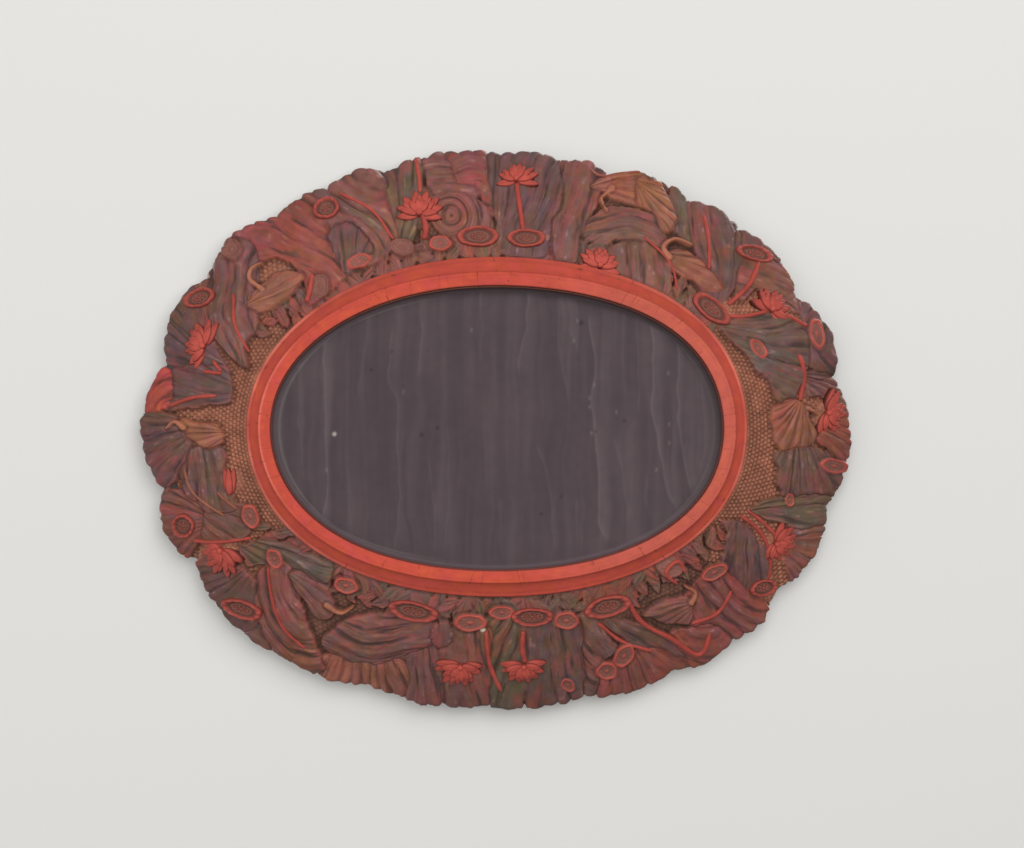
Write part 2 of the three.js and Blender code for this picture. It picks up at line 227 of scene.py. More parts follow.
def smooth_line(points, steps, closed=False):
    """A smooth line through points."""
    p = np.asarray(points, float)
    count = len(p)
    rows = []
    for i in range(count if closed else count - 1):
        if closed:
            a, b, c, d = (p[(i + k) % count] for k in (-1, 0, 1, 2))
        else:
            a, b, c, d = p[max(i - 1, 0)], p[i], p[i + 1], p[min(i + 2, count - 1)]
        for s in np.arange(steps) / steps:
            rows.append(0.5 * (2 * b + (c - a) * s + (2 * a - 5 * b + 4 * c - d) * s * s
                               + (3 * b - a - 3 * c + d) * s ** 3))
    if not closed:
        rows.append(p[-1])
    return np.array(rows)


def fuller(degrees):
    """How much fuller than a true oval the foot is at an angle, as a share."""
    turn = np.radians(degrees)
    even, right, aslant, top = FULLNESS
    share = even + right * np.cos(turn) + aslant * np.sin(2 * turn) - top * np.sin(turn)
    return np.sin(2 * turn) ** 2 * share


def oval_grid(oval, across, along):
    """A square grid drawn out over an oval: its two sides, from -1 to 1, its x and y, and the share of the
    way from the middle to the oval."""
    s, r = np.meshgrid(np.linspace(-1, 1, across + 1), np.linspace(-1, 1, along + 1), indexing="ij")
    x, y = oval[0] * s * np.sqrt(1 - r ** 2 / 2), oval[1] * r * np.sqrt(1 - s ** 2 / 2)
    reach = np.hypot(x / oval[0], y / oval[1])
    swell = 1 + fuller(np.degrees(np.arctan2(-y / oval[1], x / oval[0]))) * reach ** 2
    return s, r, x * swell, y * swell, reach


def surface(degrees, shares, heights, outlined):
    """Points of a swept surface, columns by rows. outlined is how much of the leafy outline each row has."""
    angle = np.radians(degrees)[:, None]
    out = leaf_edge(degrees)[:, None] * outlined + fine_scallops(degrees)[:, None] * outlined ** 4
    swell = 1 + fuller(degrees)[:, None]
    long, wide = (mix(FOOT_OVAL[i] * swell, RIM_OVAL[i], shares[None, :]) + out for i in (0, 1))
    x, y = long * np.cos(angle), -wide * np.sin(angle)
    return np.stack([x, y, np.broadcast_to(heights[None, :], x.shape)], axis=2)


def grid_normals(points):
    """Normals of a surface that closes on itself from its last column to its first."""
    round_it = np.roll(points, -1, axis=0) - np.roll(points, 1, axis=0)
    up_it = np.gradient(points, axis=1)
    normal = np.cross(round_it, up_it)
    return normal / np.linalg.norm(normal, axis=2, keepdims=True)


# Carving: forms laid over one another on a plan, each with its height and its colour.

def inside_distance(u, v, line):
    """Distance inside a closed outline, negative outside it."""
    best = np.full(u.shape, 1e9)
    inside = np.zeros(u.shape, bool)
    for (x0, y0), (x1, y1) in zip(line, np.roll(line, -1, axis=0)):
        ex, ey = x1 - x0, y1 - y0
        s = np.clip(((u - x0) * ex + (v - y0) * ey) / (ex * ex + ey * ey + 1e-9), 0, 1)
        best = np.minimum(best, (u - x0 - s * ex) ** 2 + (v - y0 - s * ey) ** 2)
        if y0 != y1:
            inside ^= ((y0 > v) != (y1 > v)) & (u < x0 + (v - y0) * ex / ey)
    return np.where(inside, 1, -1) * np.sqrt(best)


def line_distance(u, v, line):
    """Distance from an open line, and how far along it the nearest point is, from 0 to 1."""
    best = np.full(u.shape, 1e9)
    along = np.zeros(u.shape)
    for i in range(len(line) - 1):
        (x0, y0), (x1, y1) = line[i], line[i + 1]
        ex, ey = x1 - x0, y1 - y0
        s = np.clip(((u - x0) * ex + (v - y0) * ey) / (ex * ex + ey * ey + 1e-9), 0, 1)
        d = (u - x0 - s * ex) ** 2 + (v - y0 - s * ey) ** 2
        along = np.where(d < best, (i + s) / (len(line) - 1), along)
        best = np.minimum(best, d)
    return np.sqrt(best), along


# Outline of a small leaf, as shares of its length and width.
SPRIG = [
    (-0.5, 0), (-0.3, 0.36), (0.02, 0.5), (0.32, 0.32), (0.56, 0), (0.3, -0.3), (0, -0.48), (-0.3, -0.36),
]

# A leaf picks the height and tone of each of its folds from so many random ones. Its colours are shifted by
# these shares of red, green and blue.
FOLD_CHANCES = 97
TO_EVEN = np.array((0.96, 1.03, 1.04))
TO_PURPLE = np.array((0, -0.015, 0.27))
TO_GREEN = np.array((-0.09, 0.07, 0.02))


class Carving:
    """A surface while it is carved: where each of its points lies on the plan, its relief, its colour, and
    whether its ground is bare there."""

    def __init__(self, u, v):
        self.shape = u.shape
        self.u, self.v = u.ravel(), v.ravel()
        self.relief = np.zeros(self.u.size)
        self.colour = np.zeros((self.u.size, 3))
        self.bare = np.ones(self.u.size, bool)

    def near(self, line, margin=6):
        """The points in the box round a line."""
        (u0, v0), (u1, v1) = line.min(axis=0) - margin, line.max(axis=0) + margin
        return np.flatnonzero((self.u > u0) & (self.u < u1) & (self.v > v0) & (self.v < v1))

    def lay(self, index, distance, relief, colour, trench=0.16):
        """Lays a form where distance is above 0, with a narrow trench cut round it and painted shade in that
        trench.
        """
        beside = np.exp(-((distance + 1.3) / 1.1) ** 2) * (distance < 0)
        self.relief[index] -= trench * beside
        # Painted shade darkens the trench.
        self.colour[index] *= (1 - 0.14 * beside)[:, None]
        cover = ease(distance / 1.2 + 0.5)
        self.bare[index] &= distance < -1.5
        self.relief[index] = mix(self.relief[index], relief, cover)
        self.colour[index] = mix(self.colour[index], colour, cover[:, None])

    def leaf(self, outline, hub, veins, lacquer, rise=1.0, cut=0.5, kind="fan", roll=0.2, frill=0.7, seed=0):
        """A leaf or a part of one, in flowing folds. The folds fan out from hub, so many to a full turn, or
        run round hub in rings, so many plan units apart."""
        chance = np.random.RandomState(seed + 5)
        lean, twist, side = chance.uniform(-1, 1), chance.uniform(-1, 1), chance.choice([-1, 1])
        picks = chance.uniform(0, 1, FOLD_CHANCES)
        rises = chance.uniform(-0.5, 0.5, FOLD_CHANCES)
        stains = chance.uniform(-1, 1, FOLD_CHANCES)
        line = smooth_line(outline, 5, closed=True)
        index = self.near(line)
        u, v = self.u[index], self.v[index]
        middle = line.mean(axis=0)
        about = np.arctan2(v - middle[1], u - middle[0])
        distance = inside_distance(u + 2.5 * cloud(u, v, 13, 18), v + 2.5 * cloud(u, v, 13, 19), line)
        distance = distance + frill * np.sin(about * 15 + seed) * np.sin(about * 4)
        away = np.hypot(u - hub[0], v - hub[1])
        middle_away = math.hypot(middle[0] - hub[0], middle[1] - hub[1])
        turn = np.arctan2(v - hub[1], u - hub[0])
        middle_turn = math.atan2(middle[1] - hub[1], middle[0] - hub[0])
        turn = (turn - middle_turn + math.pi) % (2 * math.pi) - math.pi
        if kind == "fan":
            phase = (turn + 0.002 * twist * (away - middle_away)) * veins / (2 * math.pi)
            along = away
        else:
            phase = (away + 14 * lean * turn * turn) / veins
            along = turn * middle_away
        phase = 0.62 * phase + 0.45 * cloud(u + 31 * seed, v, 40, 11) + 0.08 * cloud(u, v + 17 * seed, 15, 12)
        phase = phase + 0.15 * np.sin(2.3 * phase + seed)
        band = np.floor(phase).astype(int)
        within = phase - band if side > 0 else 1 - (phase - band)
        ridge = 0.5 - 0.5 * np.cos(2 * math.pi * within ** 0.8)
        band = band % FOLD_CHANCES
        offset = 9.7 * picks[band]
        streak = cloud(phase * 2.7 + seed, along / 26 + offset, 1, 14)
        strand = cloud(phase * 4.3 + seed, along / 15 + offset, 1, 26)
        fibre = cloud(phase * 9.1 + seed, along / 9 + 2 * offset, 1, 15)
        vein = np.cos(2 * math.pi * (phase * 3 + 0.5 * cloud(u, v, 21, 24) + 0.2 * cloud(u, v, 6, 28)))
        gap = (2 * math.pi * away if kind == "fan" else veins * veins) / veins / 1.9
        vein = vein * ease((gap - 1.8) / 1.2) * (0.3 + 0.7 * ease(0.9 * cloud(u, v, 17, 25) + 0.6))
        vigour = 0.75 + 0.4 * cloud(u, v + 9 * seed, 27, 16)
        inner = np.clip(distance, 0, None)
        pillow = 1 - np.exp(-inner / 2.2)
        fade = ease(inner / 3.5)
        slope = 0.012 * ((u - middle[0]) * lean + (v - middle[1]) * twist)
        folds = 0.95 * vigour * (ridge - 0.6) + 0.5 * rises[band] * ridge + 0.34 * streak + 0.12 * fibre
        folds = folds + 0.13 * vein + 0.2 * strand
        relief = rise * pillow + slope * fade + cut * folds * fade
        relief = relief + roll * np.exp(-((distance - 1.8) / 1.0) ** 2)
        up = 0.22 + 0.5 * ridge * (0.45 + 0.55 * ease(inner / 2.5)) + 0.3 * streak + 0.22 * strand
        up = up + 0.14 * fibre + 0.15 * vein
        colour = layered(lacquer, up, ease(picks[band] * 1.6 - 0.3 + 0.5 * strand))
        rubbed = ease((cloud(phase * 5.3 + seed, along / 6 + offset, 1, 27) - 0.55) / 0.2)
        colour = mix(colour, RUBBED, 0.4 * (rubbed * ease(2.5 * up - 1.2))[:, None])
        warm = 0.4 * stains[band] + 0.55 * strand + 0.35 * fibre + 0.75 * cloud(u + 13 * seed, v, 17, 17)
        colour = mix(colour, LACQUERS["scarlet"][2], (0.5 * ease(warm - 0.15) * ease(up + 0.3))[:, None])
        colour = mix(colour, LACQUERS["moss"][3], (0.5 * ease(-warm - 0.2) * ease(up + 0.3))[:, None])
        # Strands and whole stretches lean to purple or to ochre, and to green or to red.
        purple = np.clip(0.5 * strand + cloud(u, v, 7, 31) + 0.7 * cloud(u, v, 60, 32), -1.2, 1.2)
        green = cloud(u, v, 26, 33)
        tint = TO_EVEN + (purple[:, None] * TO_PURPLE + green[:, None] * TO_GREEN)
        colour = mix(colour * tint, LACQUERS[lacquer][2] * 0.85, 0.17)
        margin = np.exp(-((distance - 1.8) / 0.9) ** 2) * (0.35 if picks[0] > 0.5 else 0.1)
        colour = mix(colour, LACQUERS["russet"][2], margin[:, None])
        self.lay(index, distance, relief, colour * (1 + 0.07 * fibre)[:, None])

    def ribbon(self, points, width, lacquer, rise=1.0, taper=0.4, crown=0.3, trench=0.3):
        """A narrow rounded ridge along a line, such as a stem, a neck or a beak."""
        line = smooth_line(points, 6)
        index = self.near(line)
        away, along = line_distance(self.u[index], self.v[index], line)
        half = width / 2 * mix(1, taper, along)
        distance = half - away
        share = np.clip(away / half, 0, 1)
        colour = layered(lacquer, 1 - 0.5 * share ** 3, 0 * share)
        self.lay(index, distance, rise + crown * np.sqrt(1 - share ** 2), colour, trench)

    def sprig(self, middle, long, wide, turn, lacquer, rise=0.5, cut=0.3, seed=0):
        """A small pointed leaf that curls to one side, with veins from its stalk."""
        c, s = math.cos(math.radians(turn)), math.sin(math.radians(turn))
        curl = (seed % 5 - 2) * 0.09
        outline = []
        for a, b in SPRIG:
            aside = b * wide + curl * a * a * 4 * wide
            outline.append((middle[0] + a * long * c - aside * s, middle[1] + a * long * s + aside * c))
        hub = (middle[0] - 0.62 * long * c, middle[1] - 0.62 * long * s)
        self.leaf(outline, hub, 34, lacquer, rise, cut, frill=0.4, roll=0.15, seed=seed)

    def rosette(self, middle, long, wide, turn, lacquer, rise=1.0):
        """An open flower seen askew: a thick lobed lip, small petals inside it and a boss in the middle."""
        c, s = math.cos(math.radians(turn)), math.sin(math.radians(turn))
        index = self.near(np.array([middle]), max(long, wide) / 2 + 5)
        u, v = self.u[index] - middle[0], self.v[index] - middle[1]
        a, b = (u * c + v * s) / (long / 2), (v * c - u * s) / (wide / 2)
        round_it = np.arctan2(b, a)
        lobed = 1 + 0.03 * np.cos(5 * round_it + middle[0]) + 0.02 * np.cos(3 * round_it + middle[1])
        share = np.hypot(a, b) / lobed
        lip = np.exp(-((share - 0.83) / 0.14) ** 2)
        petals = (0.35 + 0.3 * np.abs(np.cos(5 * round_it))) * np.exp(-((share - 0.5) / 0.2) ** 2)
        boss = np.exp(-(share / 0.2) ** 2)
        relief = rise * (0.35 + 0.65 * lip + 0.5 * petals + 0.5 * boss)
        up = np.clip(0.25 + 0.8 * lip + 0.7 * petals + 0.6 * boss, 0, 1)
        within = layered("umber", up, 0 * up)
        lip_tone = layered(lacquer, 0.25 + 0.4 * up, 1 + 0 * up)
        colour = mix(within, lip_tone, np.clip(1.2 * lip + 0.7 * boss, 0, 0.85)[:, None])
        self.lay(index, (1 - share) * min(long, wide) / 2, relief, colour)

    def flatten(self, middle, reach):
        """Evens the relief out where a piece of its own is to stand."""
        index = self.near(np.array([middle]), reach)
        away = np.hypot(self.u[index] - middle[0], self.v[index] - middle[1]) / reach
        level = np.percentile(self.relief[index], 60)
        self.relief[index] = mix(self.relief[index], level, ease((1 - away) * 2.5))

    def scales(self, along, up, rise):
        """A ground of small bricks with a pearl on each, in rows. along and up count bricks and rows."""
        along, up = along.ravel(), up.ravel()
        row = np.floor(up)
        a = (along + 0.5 * (row % 2)) % 1 - 0.5
        b = up - row - 0.5
        brick = np.clip(1 - np.maximum(np.abs(2.1 * a) ** 4, np.abs(2.1 * b) ** 4), 0, 1) ** 0.7
        pearl = np.exp(-((a / 0.26) ** 2 + (b / 0.28) ** 2))
        self.relief[:] = rise + 0.45 * brick + 0.2 * pearl
        self.colour[:] = layered("ground", 0.15 + 0.5 * brick + 0.3 * pearl, 1 - pearl)


def clear_seats(carving, seats, reach):
    """Evens a surface out where pieces are to stand, over a share of each one's length."""
    for middle, long, *_ in seats:
        carving.flatten(middle, reach * long / PLAN_UNIT)


def bricks_before(degrees):
    """How many bricks of the ground come before each angle, of a whole number round the wall."""
    turn = np.radians(degrees)
    way = np.cumsum(np.hypot(MID_WALL[0] * np.sin(turn), MID_WALL[1] * np.cos(turn))) * math.radians(
        360 / len(degrees))
    return way / way[-1] * round(way[-1] / BRICK_WIDE)


def blurred(values, radius):
    """Averages values over nearby columns and rows. The columns close on themselves."""
    wide = np.concatenate([values[-radius:], values, values[:radius]])
    total = np.cumsum(np.concatenate([np.zeros((1, wide.shape[1])), wide]), axis=0)
    span = 2 * radius + 1
    values = (total[span:] - total[:-span]) / span
    tall = np.pad(values, ((0, 0), (radius, radius)), mode="edge")
    total = np.cumsum(np.concatenate([np.zeros((tall.shape[0], 1)), tall], axis=1), axis=1)
    return (total[:, span:] - total[:, :-span]) / span


def cut_surface(carving, base, normal, fade, reach, loss=0):
    """The front, relief, colours, and dirt and painted shade of a carved surface, with tool marks. fade takes
    the relief down at its edges, reach is how far round a point its hollows are measured, and loss is where a
    flake is missing."""
    u, v = carving.u.reshape(carving.shape), carving.v.reshape(carving.shape)
    tool_marks = 0.05 * cloud(u, v, 3.1, 21) + 0.05 * cloud(u, v, 7.3, 22)
    relief = carving.relief.reshape(carving.shape) * fade + tool_marks * fade - 0.3 * loss
    cavity = np.clip((blurred(relief, reach) - relief) / 0.7, -1, 1)
    hollow, crest = np.clip(cavity, 0, 1), np.clip(-cavity, 0, 1)
    colour = carving.colour.reshape(*carving.shape, 3) * (1 + 0.1 * cloud(u, v, 26, 23))[:, :, None]
    # Painted shade darkens the hollows and a painted highlight lightens the crests.
    colour = colour * (1 - 0.14 * hollow + 0.12 * crest)[:, :, None]
    return base + normal * relief[:, :, None], relief, colour, 0.35 * hollow


# Finishes.

def node(tree, kind, inputs=None, **settings):
    """Adds a node to a tree and gives its outputs. An input that is given a socket is joined to it, and any
    other is set."""
    made = tree.nodes.new(kind)
    for name, value in settings.items():
        setattr(made, name, value)
    for name, value in (inputs or {}).items():
        if isinstance(value, bpy.types.NodeSocket):
            tree.links.new(value, made.inputs[name])
        else:
            made.inputs[name].default_value = value
    return made.outputs


def blend(tree, one, other, share):
    """Mixes two colours."""
    return node(tree, "ShaderNodeMix", {"A": one, "B": other, "Factor": share}, data_type="RGBA")["Result"]


def new_finish(name):
    """A material with nodes, its tree and the inputs of its shader."""
    material = bpy.data.materials.new(name)
    material.use_nodes = True
    return material, material.node_tree, material.node_tree.nodes["Principled BSDF"].inputs


def carved_finish(name, roughness, dirt_and_shade, mottle_depth=0.15, gloss=0.5):
    """Lacquer whose colour comes from its layers, duller in the cuts and darkened there by dirt and painted
    shade.
    """
    material, tree, shader = new_finish(name)
    place = node(tree, "ShaderNodeTexCoord")["Object"]
    layers = node(tree, "ShaderNodeAttribute", attribute_name="lacquer")["Color"]
    hollow = node(tree, "ShaderNodeAttribute", attribute_name="hollow")["Fac"]
    mottle = node(tree, "ShaderNodeTexNoise", {"Vector": place, "Scale": 260, "Detail": 5})["Fac"]
    shade = node(tree, "ShaderNodeMapRange", {
        "Value": mottle, "From Min": 0.3, "From Max": 0.7, "To Min": 1 - mottle_depth,
        "To Max": 1 + mottle_depth})["Result"]
    mottled = node(tree, "ShaderNodeVectorMath", {0: layers, "Scale": shade}, operation="SCALE")["Vector"]
    # The hollows are darkened towards the dark colour, which paints shade there as well as dirt.
    shaded_and_dusty = blend(tree, mottled, dirt_and_shade, hollow)
    dull = node(tree, "ShaderNodeMapRange", {"Value": hollow, "To Min": roughness, "To Max": 0.75})["Result"]
    skin = node(tree, "ShaderNodeTexNoise", {"Vector": place, "Scale": 900, "Detail": 3})["Fac"]
    uneven = node(tree, "ShaderNodeBump", {"Height": skin, "Strength": 0.25, "Distance": 0.0003})["Normal"]
    shader["Specular IOR Level"].default_value = gloss
    tree.links.new(shaded_and_dusty, shader["Base Color"])
    tree.links.new(dull, shader["Roughness"])
    tree.links.new(uneven, shader["Normal"])
    return material


def wood_finish(name, light, dark):
    """Wood whose colour wanders between two tones, with a fine uneven skin."""
    material, tree, shader = new_finish(name)
    place = node(tree, "ShaderNodeTexCoord")["Object"]
    wander = node(tree, "ShaderNodeTexNoise", {"Vector": place, "Scale": 90, "Detail": 6})["Fac"]
    share = node(tree, "ShaderNodeMapRange", {"Value": wander, "From Min": 0.35, "From Max": 0.65})["Result"]
    colour = blend(tree, dark, light, share)
    uneven = node(tree, "ShaderNodeBump", {"Height": wander, "Strength": 0.15, "Distance": 0.0004})["Normal"]
    shader["Roughness"].default_value = 0.7
    tree.links.new(colour, shader["Base Color"])
    tree.links.new(uneven, shader["Normal"])
    return material


FINISHES = {
    "leaf_lacquer": carved_finish("leaf_lacquer", 0.42, srgb(50, 36, 33)),
    "red_lacquer": carved_finish("red_lacquer", 0.4, srgb(92, 38, 34)),
    "foot_red": carved_finish("foot_red", 0.45, srgb(96, 42, 36), 0.07, 0.3),
    "brown_lacquer": carved_finish("brown_lacquer", 0.45, srgb(38, 30, 33), 0.05, 0.2),
    "core_wood": wood_finish("core_wood", srgb(178, 138, 92), srgb(150, 112, 72)),
}
for part in frame["record"]["subparts"]:
    solid = frame["nodes"][part["node"]]
    solid.data.materials.clear()
    solid.data.materials.append(FINISHES[part["material_slot"]])


# Meshes.

def outward(points, faces):
    """The faces of a closed mesh, turned so that they face outwards."""
    volume = 0.0
    for size in {len(face) for face in faces}:
        group = points[np.array([face for face in faces if len(face) == size])]
        for k in range(1, size - 1):
            volume += np.einsum("ij,ij->i", group[:, 0], np.cross(group[:, k], group[:, k + 1])).sum()
    return faces if volume > 0 else [face[::-1] for face in faces]


def set_out(name, data):
    """Puts an object with some data in the scene."""
    thing = bpy.data.objects.new(name, data)
    bpy.context.scene.collection.objects.link(thing)
    return thing


def coat_points(mesh, colour):
    """Gives each point of a mesh the colour of its lacquer."""
    layer = mesh.color_attributes.new("lacquer", "FLOAT_COLOR", "POINT")
    layer.data.foreach_set("color", np.column_stack([colour, np.ones(len(colour))]).ravel())


def hand_over(name, mesh, replaces=()):
    """Hands a finished mesh to the frame as a piece."""
    piece = set_out(name, mesh)
    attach(piece, "root")
    if replaces:
        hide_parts(*replaces)


def add_piece(name, points, faces, slot, colour=None, hollow=None, normals=None, replaces=()):
    """Makes a piece from points in millimetres, with its layers' colours and the dirt and painted shade in
    its hollows.
    """
    mesh = bpy.data.meshes.new(name)
    mesh.from_pydata((points * MM).tolist(), [], outward(points, faces))
    mesh.shade_smooth()
    if colour is not None:
        coat_points(mesh, colour)
    if hollow is not None:
        mesh.attributes.new("hollow", "FLOAT", "POINT").data.foreach_set("value", hollow)
    if normals is not None:
        mesh.normals_split_custom_set_from_vertices(normals.tolist())
    mesh.materials.append(FINISHES[slot])
    hand_over(name, mesh, replaces)


def sector_faces(columns, front, back_rows):
    """Faces of a closed slice of shell: a front grid, a back grid with fewer rows, and two end caps.
    back_rows are the front rows that the back's rows lie behind."""
    back = len(back_rows)
    first_back = columns * front

    def f(column, row):
        return column * front + row

    def b(column, row):
        return first_back + column * back + row

    faces = []
    for c in range(columns - 1):
        faces += [(f(c, r), f(c + 1, r), f(c + 1, r + 1), f(c, r + 1)) for r in range(front - 1)]
        faces += [(b(c, k), b(c, k + 1), b(c + 1, k + 1), b(c + 1, k)) for k in range(back - 1)]
        faces.append((f(c, 0), b(c, 0), b(c + 1, 0), f(c + 1, 0)))
        faces.append((f(c, front - 1), f(c + 1, front - 1), b(c + 1, back - 1), b(c, back - 1)))
    for c, turned in ((0, False), (columns - 1, True)):
        cap = []
        for k in range(back - 1):
            cap += [(b(c, k), f(c, r), f(c, r + 1)) for r in range(back_rows[k], back_rows[k + 1])]
            cap.append((b(c, k), f(c, back_rows[k + 1]), b(c, k + 1)))
        faces += [face[::-1] for face in cap] if turned else cap
    return faces


def add_shell(name, degrees, cuts, front, back, back_rows, colour, hollow, solid):
    """Cuts a ring of carved shell into slices at some angles, each a piece that dresses a solid."""
    normals = grid_normals(front)
    if np.einsum("ijk,ijk->", normals, front - back[:, [0]]) < 0:
        normals = -normals
    edges = [int(np.argmin(np.abs(degrees - cut))) for cut in cuts]
    total = len(degrees)
    for number, start in enumerate(edges):
        stop = edges[(number + 1) % len(edges)]
        columns = np.arange(start, stop + 1 + (total if stop <= start else 0)) % total
        points = np.concatenate([front[columns].reshape(-1, 3), back[columns].reshape(-1, 3)])
        spare = back[columns].shape[0] * back.shape[1]
        behind = -np.repeat(normals[columns][:, :1], back.shape[1], axis=1).reshape(-1, 3)
        add_piece(
            f"{name}_{number + 1}", points, sector_faces(len(columns), front.shape[1], back_rows),
            "leaf_lacquer", np.concatenate([colour[columns].reshape(-1, 3), np.full((spare, 3), 0.05)]),
            np.concatenate([hollow[columns].ravel(), np.zeros(spare)]),
            np.concatenate([normals[columns].reshape(-1, 3), behind]), (solid,))


def grid_edge(columns, rows):
    """The points round the edge of a grid, in order, when its points run by columns and rows."""
    return ([c * rows for c in range(columns - 1)] + [(columns - 1) * rows + k for k in range(rows - 1)]
            + [c * rows + rows - 1 for c in range(columns - 1, 0, -1)] + list(range(rows - 1, 0, -1)))


def bearing_of(grid, oval):
    """The angle on an oval of each point round the edge of a grid."""
    edge = grid.reshape(-1, 3)[grid_edge(*grid.shape[:2])]
    return np.arctan2(edge[:, 1] / oval[1], edge[:, 0] / oval[0])


def add_disc(name, front, colour, hollow, sides, side_tones, side_dirt_and_shade, oval, slot, replaces):
    """Closes an oval grid into a piece. sides leads from its edge to the back: how far inside an oval each
    ring lies, and its height. The last ring is filled with a fan. side_tones has a colour for each ring, and
    the argument after it how much dirt and painted shade each ring takes."""
    columns, rows = front.shape[:2]
    last = grid_edge(columns, rows)
    bearing = bearing_of(front, oval)
    points, tones, dirt_and_shade = [front.reshape(-1, 3)], [colour.reshape(-1, 3)], [hollow.ravel()]
    faces = [(c * rows + k, (c + 1) * rows + k, (c + 1) * rows + k + 1, c * rows + k + 1)
             for c in range(columns - 1) for k in range(rows - 1)]
    count = len(points[0])
    plain = colour.reshape(-1, 3)[last] * 0.6
    swell = 1 + fuller(-np.degrees(bearing))
    for number, (away, height) in enumerate(sides):
        x, y = (oval[0] - away) * np.cos(bearing) * swell, (oval[1] - away) * np.sin(bearing) * swell
        points.append(np.stack([x, y, np.full(len(last), height)], axis=1))
        tones.append(side_tones[number] if side_tones else plain)
        dirt_and_shade.append(np.full(len(last), side_dirt_and_shade[number] if side_dirt_and_shade else 0.3))
        ring = list(range(count, count + len(last)))
        faces += [(f, e, g, h) for e, f, g, h in zip(last, last[1:] + last[:1], ring, ring[1:] + ring[:1])]
        last, count = ring, count + len(last)
    points.append(np.array([[0, 0, sides[-1][1]]]))
    faces += [(f, e, count) for e, f in zip(last, last[1:] + last[:1])]
    tones.append(tones[-1][:1])
    dirt_and_shade.append([0.3])
    add_piece(name, np.concatenate(points), faces, slot, np.concatenate(tones), np.concatenate(dirt_and_shade), None,
              replaces)


# The carved outside of the wall.

WALL_COLUMNS = 2200
WALL_ROWS = 142
WALL_CUTS = [11, 79, 129.5, 193, 248, 300.5]
around_wall = np.arange(WALL_COLUMNS) * 360 / WALL_COLUMNS
wall_t = np.linspace(0, 1, WALL_ROWS)
# Section of the rim after the wall: share of the wall, height, and how far outside the rim it counts on
# the plan, so that the forms run on over the rim's edge.
rim_section = smooth_line([
    (1.0, 25.2, 0), (1.008, 26.6, 0.01), (1.01, 28.8, 0.02), (1.006, 30.4, 0.03), (0.992, 31.6, 0.04),
    (0.97, 32.0, 0.05), (0.93, 31.9, 0.06), (0.87, 31.4, 0.07)], 4)[1:]
t = np.concatenate([wall_t, rim_section[:, 0]])
z = np.concatenate([outer_face(wall_t), rim_section[:, 1]])
outlined = np.concatenate([wall_t ** 2, np.interp(rim_section[:, 0], [0.87, 0.97, 1], [0, 0.85, 1])])
base = surface(around_wall, t, z, outlined)
normal = grid_normals(base)
if normal[0, 10, 2] > 0:
    normal = -normal

# The plan place of each point, with the camera's perspective taken out of the photograph's plan.
flat = surface(around_wall, np.concatenate([wall_t, 1 + rim_section[:, 2]]), np.minimum(z, RIM_UNDERSIDE),
               np.minimum(outlined, 1))
closer = 1 - (HEIGHT - flat[:, :, 2]) * MM / VIEW_DISTANCE
plan_u = PLAN_MIDDLE[0] + flat[:, :, 0] / PLAN_UNIT / closer
plan_v = PLAN_MIDDLE[1] + flat[:, :, 1] / PLAN_UNIT / closer
wall = Carving(plan_u, plan_v)

# The ground: bricks in rows round the foot. bricks is how many of them come before each column.
GROUND = -0.9
bricks = bricks_before(around_wall)
wall.scales(np.broadcast_to(bricks[:, None], plan_u.shape),
            np.broadcast_to((t * WALL_RISE / BRICK_HIGH)[None, :], plan_u.shape), GROUND)
# Only at the two ends is the ground crisp and clean. Between leaves elsewhere it is shallow and dark.
at_ends = ease((np.abs(plan_u - PLAN_MIDDLE[0]) - 195) / 35)
wall.relief = GROUND + (wall.relief - GROUND) * mix(0.45, 1, at_ends.ravel())
wall.colour = wall.colour * mix(np.array((0.5, 0.56, 0.64)), 1, at_ends.ravel()[:, None])
rubbing = 1 + 0.2 * cloud(wall.u, wall.v, 9, 51) + 0.12 * cloud(wall.u, wall.v, 3, 52)
wall.colour = wall.colour * rubbing[:, None]

# Away from the two ends of the dish, rows of small leaves crowd round an oval along the foot and hide the
# bricks. Each row lies so far outside that oval, on the plan.
SPRIG_OVAL = (249, 170)
SPRIG_ROWS = (24, 15, 6, 18, 9)
SPRIG_STEP = 3.4
spread = np.random.RandomState(4)
for row, out in enumerate(SPRIG_ROWS):
    for angle in np.arange(0, 360, SPRIG_STEP) + 1.1 * row:
        if min(abs(angle - 180), angle, 360 - angle) < 30 + 3 * row:
            continue
        c, s = math.cos(math.radians(angle)), math.sin(math.radians(angle))
        middle = (PLAN_MIDDLE[0] + (SPRIG_OVAL[0] + out) * c, PLAN_MIDDLE[1] - (SPRIG_OVAL[1] + out) * s)
        heading = math.degrees(math.atan2(-s * 1.3, c)) + spread.uniform(-65, 65)
        long, wide = spread.uniform(17, 24), spread.uniform(9, 13)
        lacquer = ("umber", "moss", "umber", "russet")[spread.randint(4)]
        wall.sprig(middle, long, wide, heading, lacquer, 0.35, 0.25, spread.randint(1000))

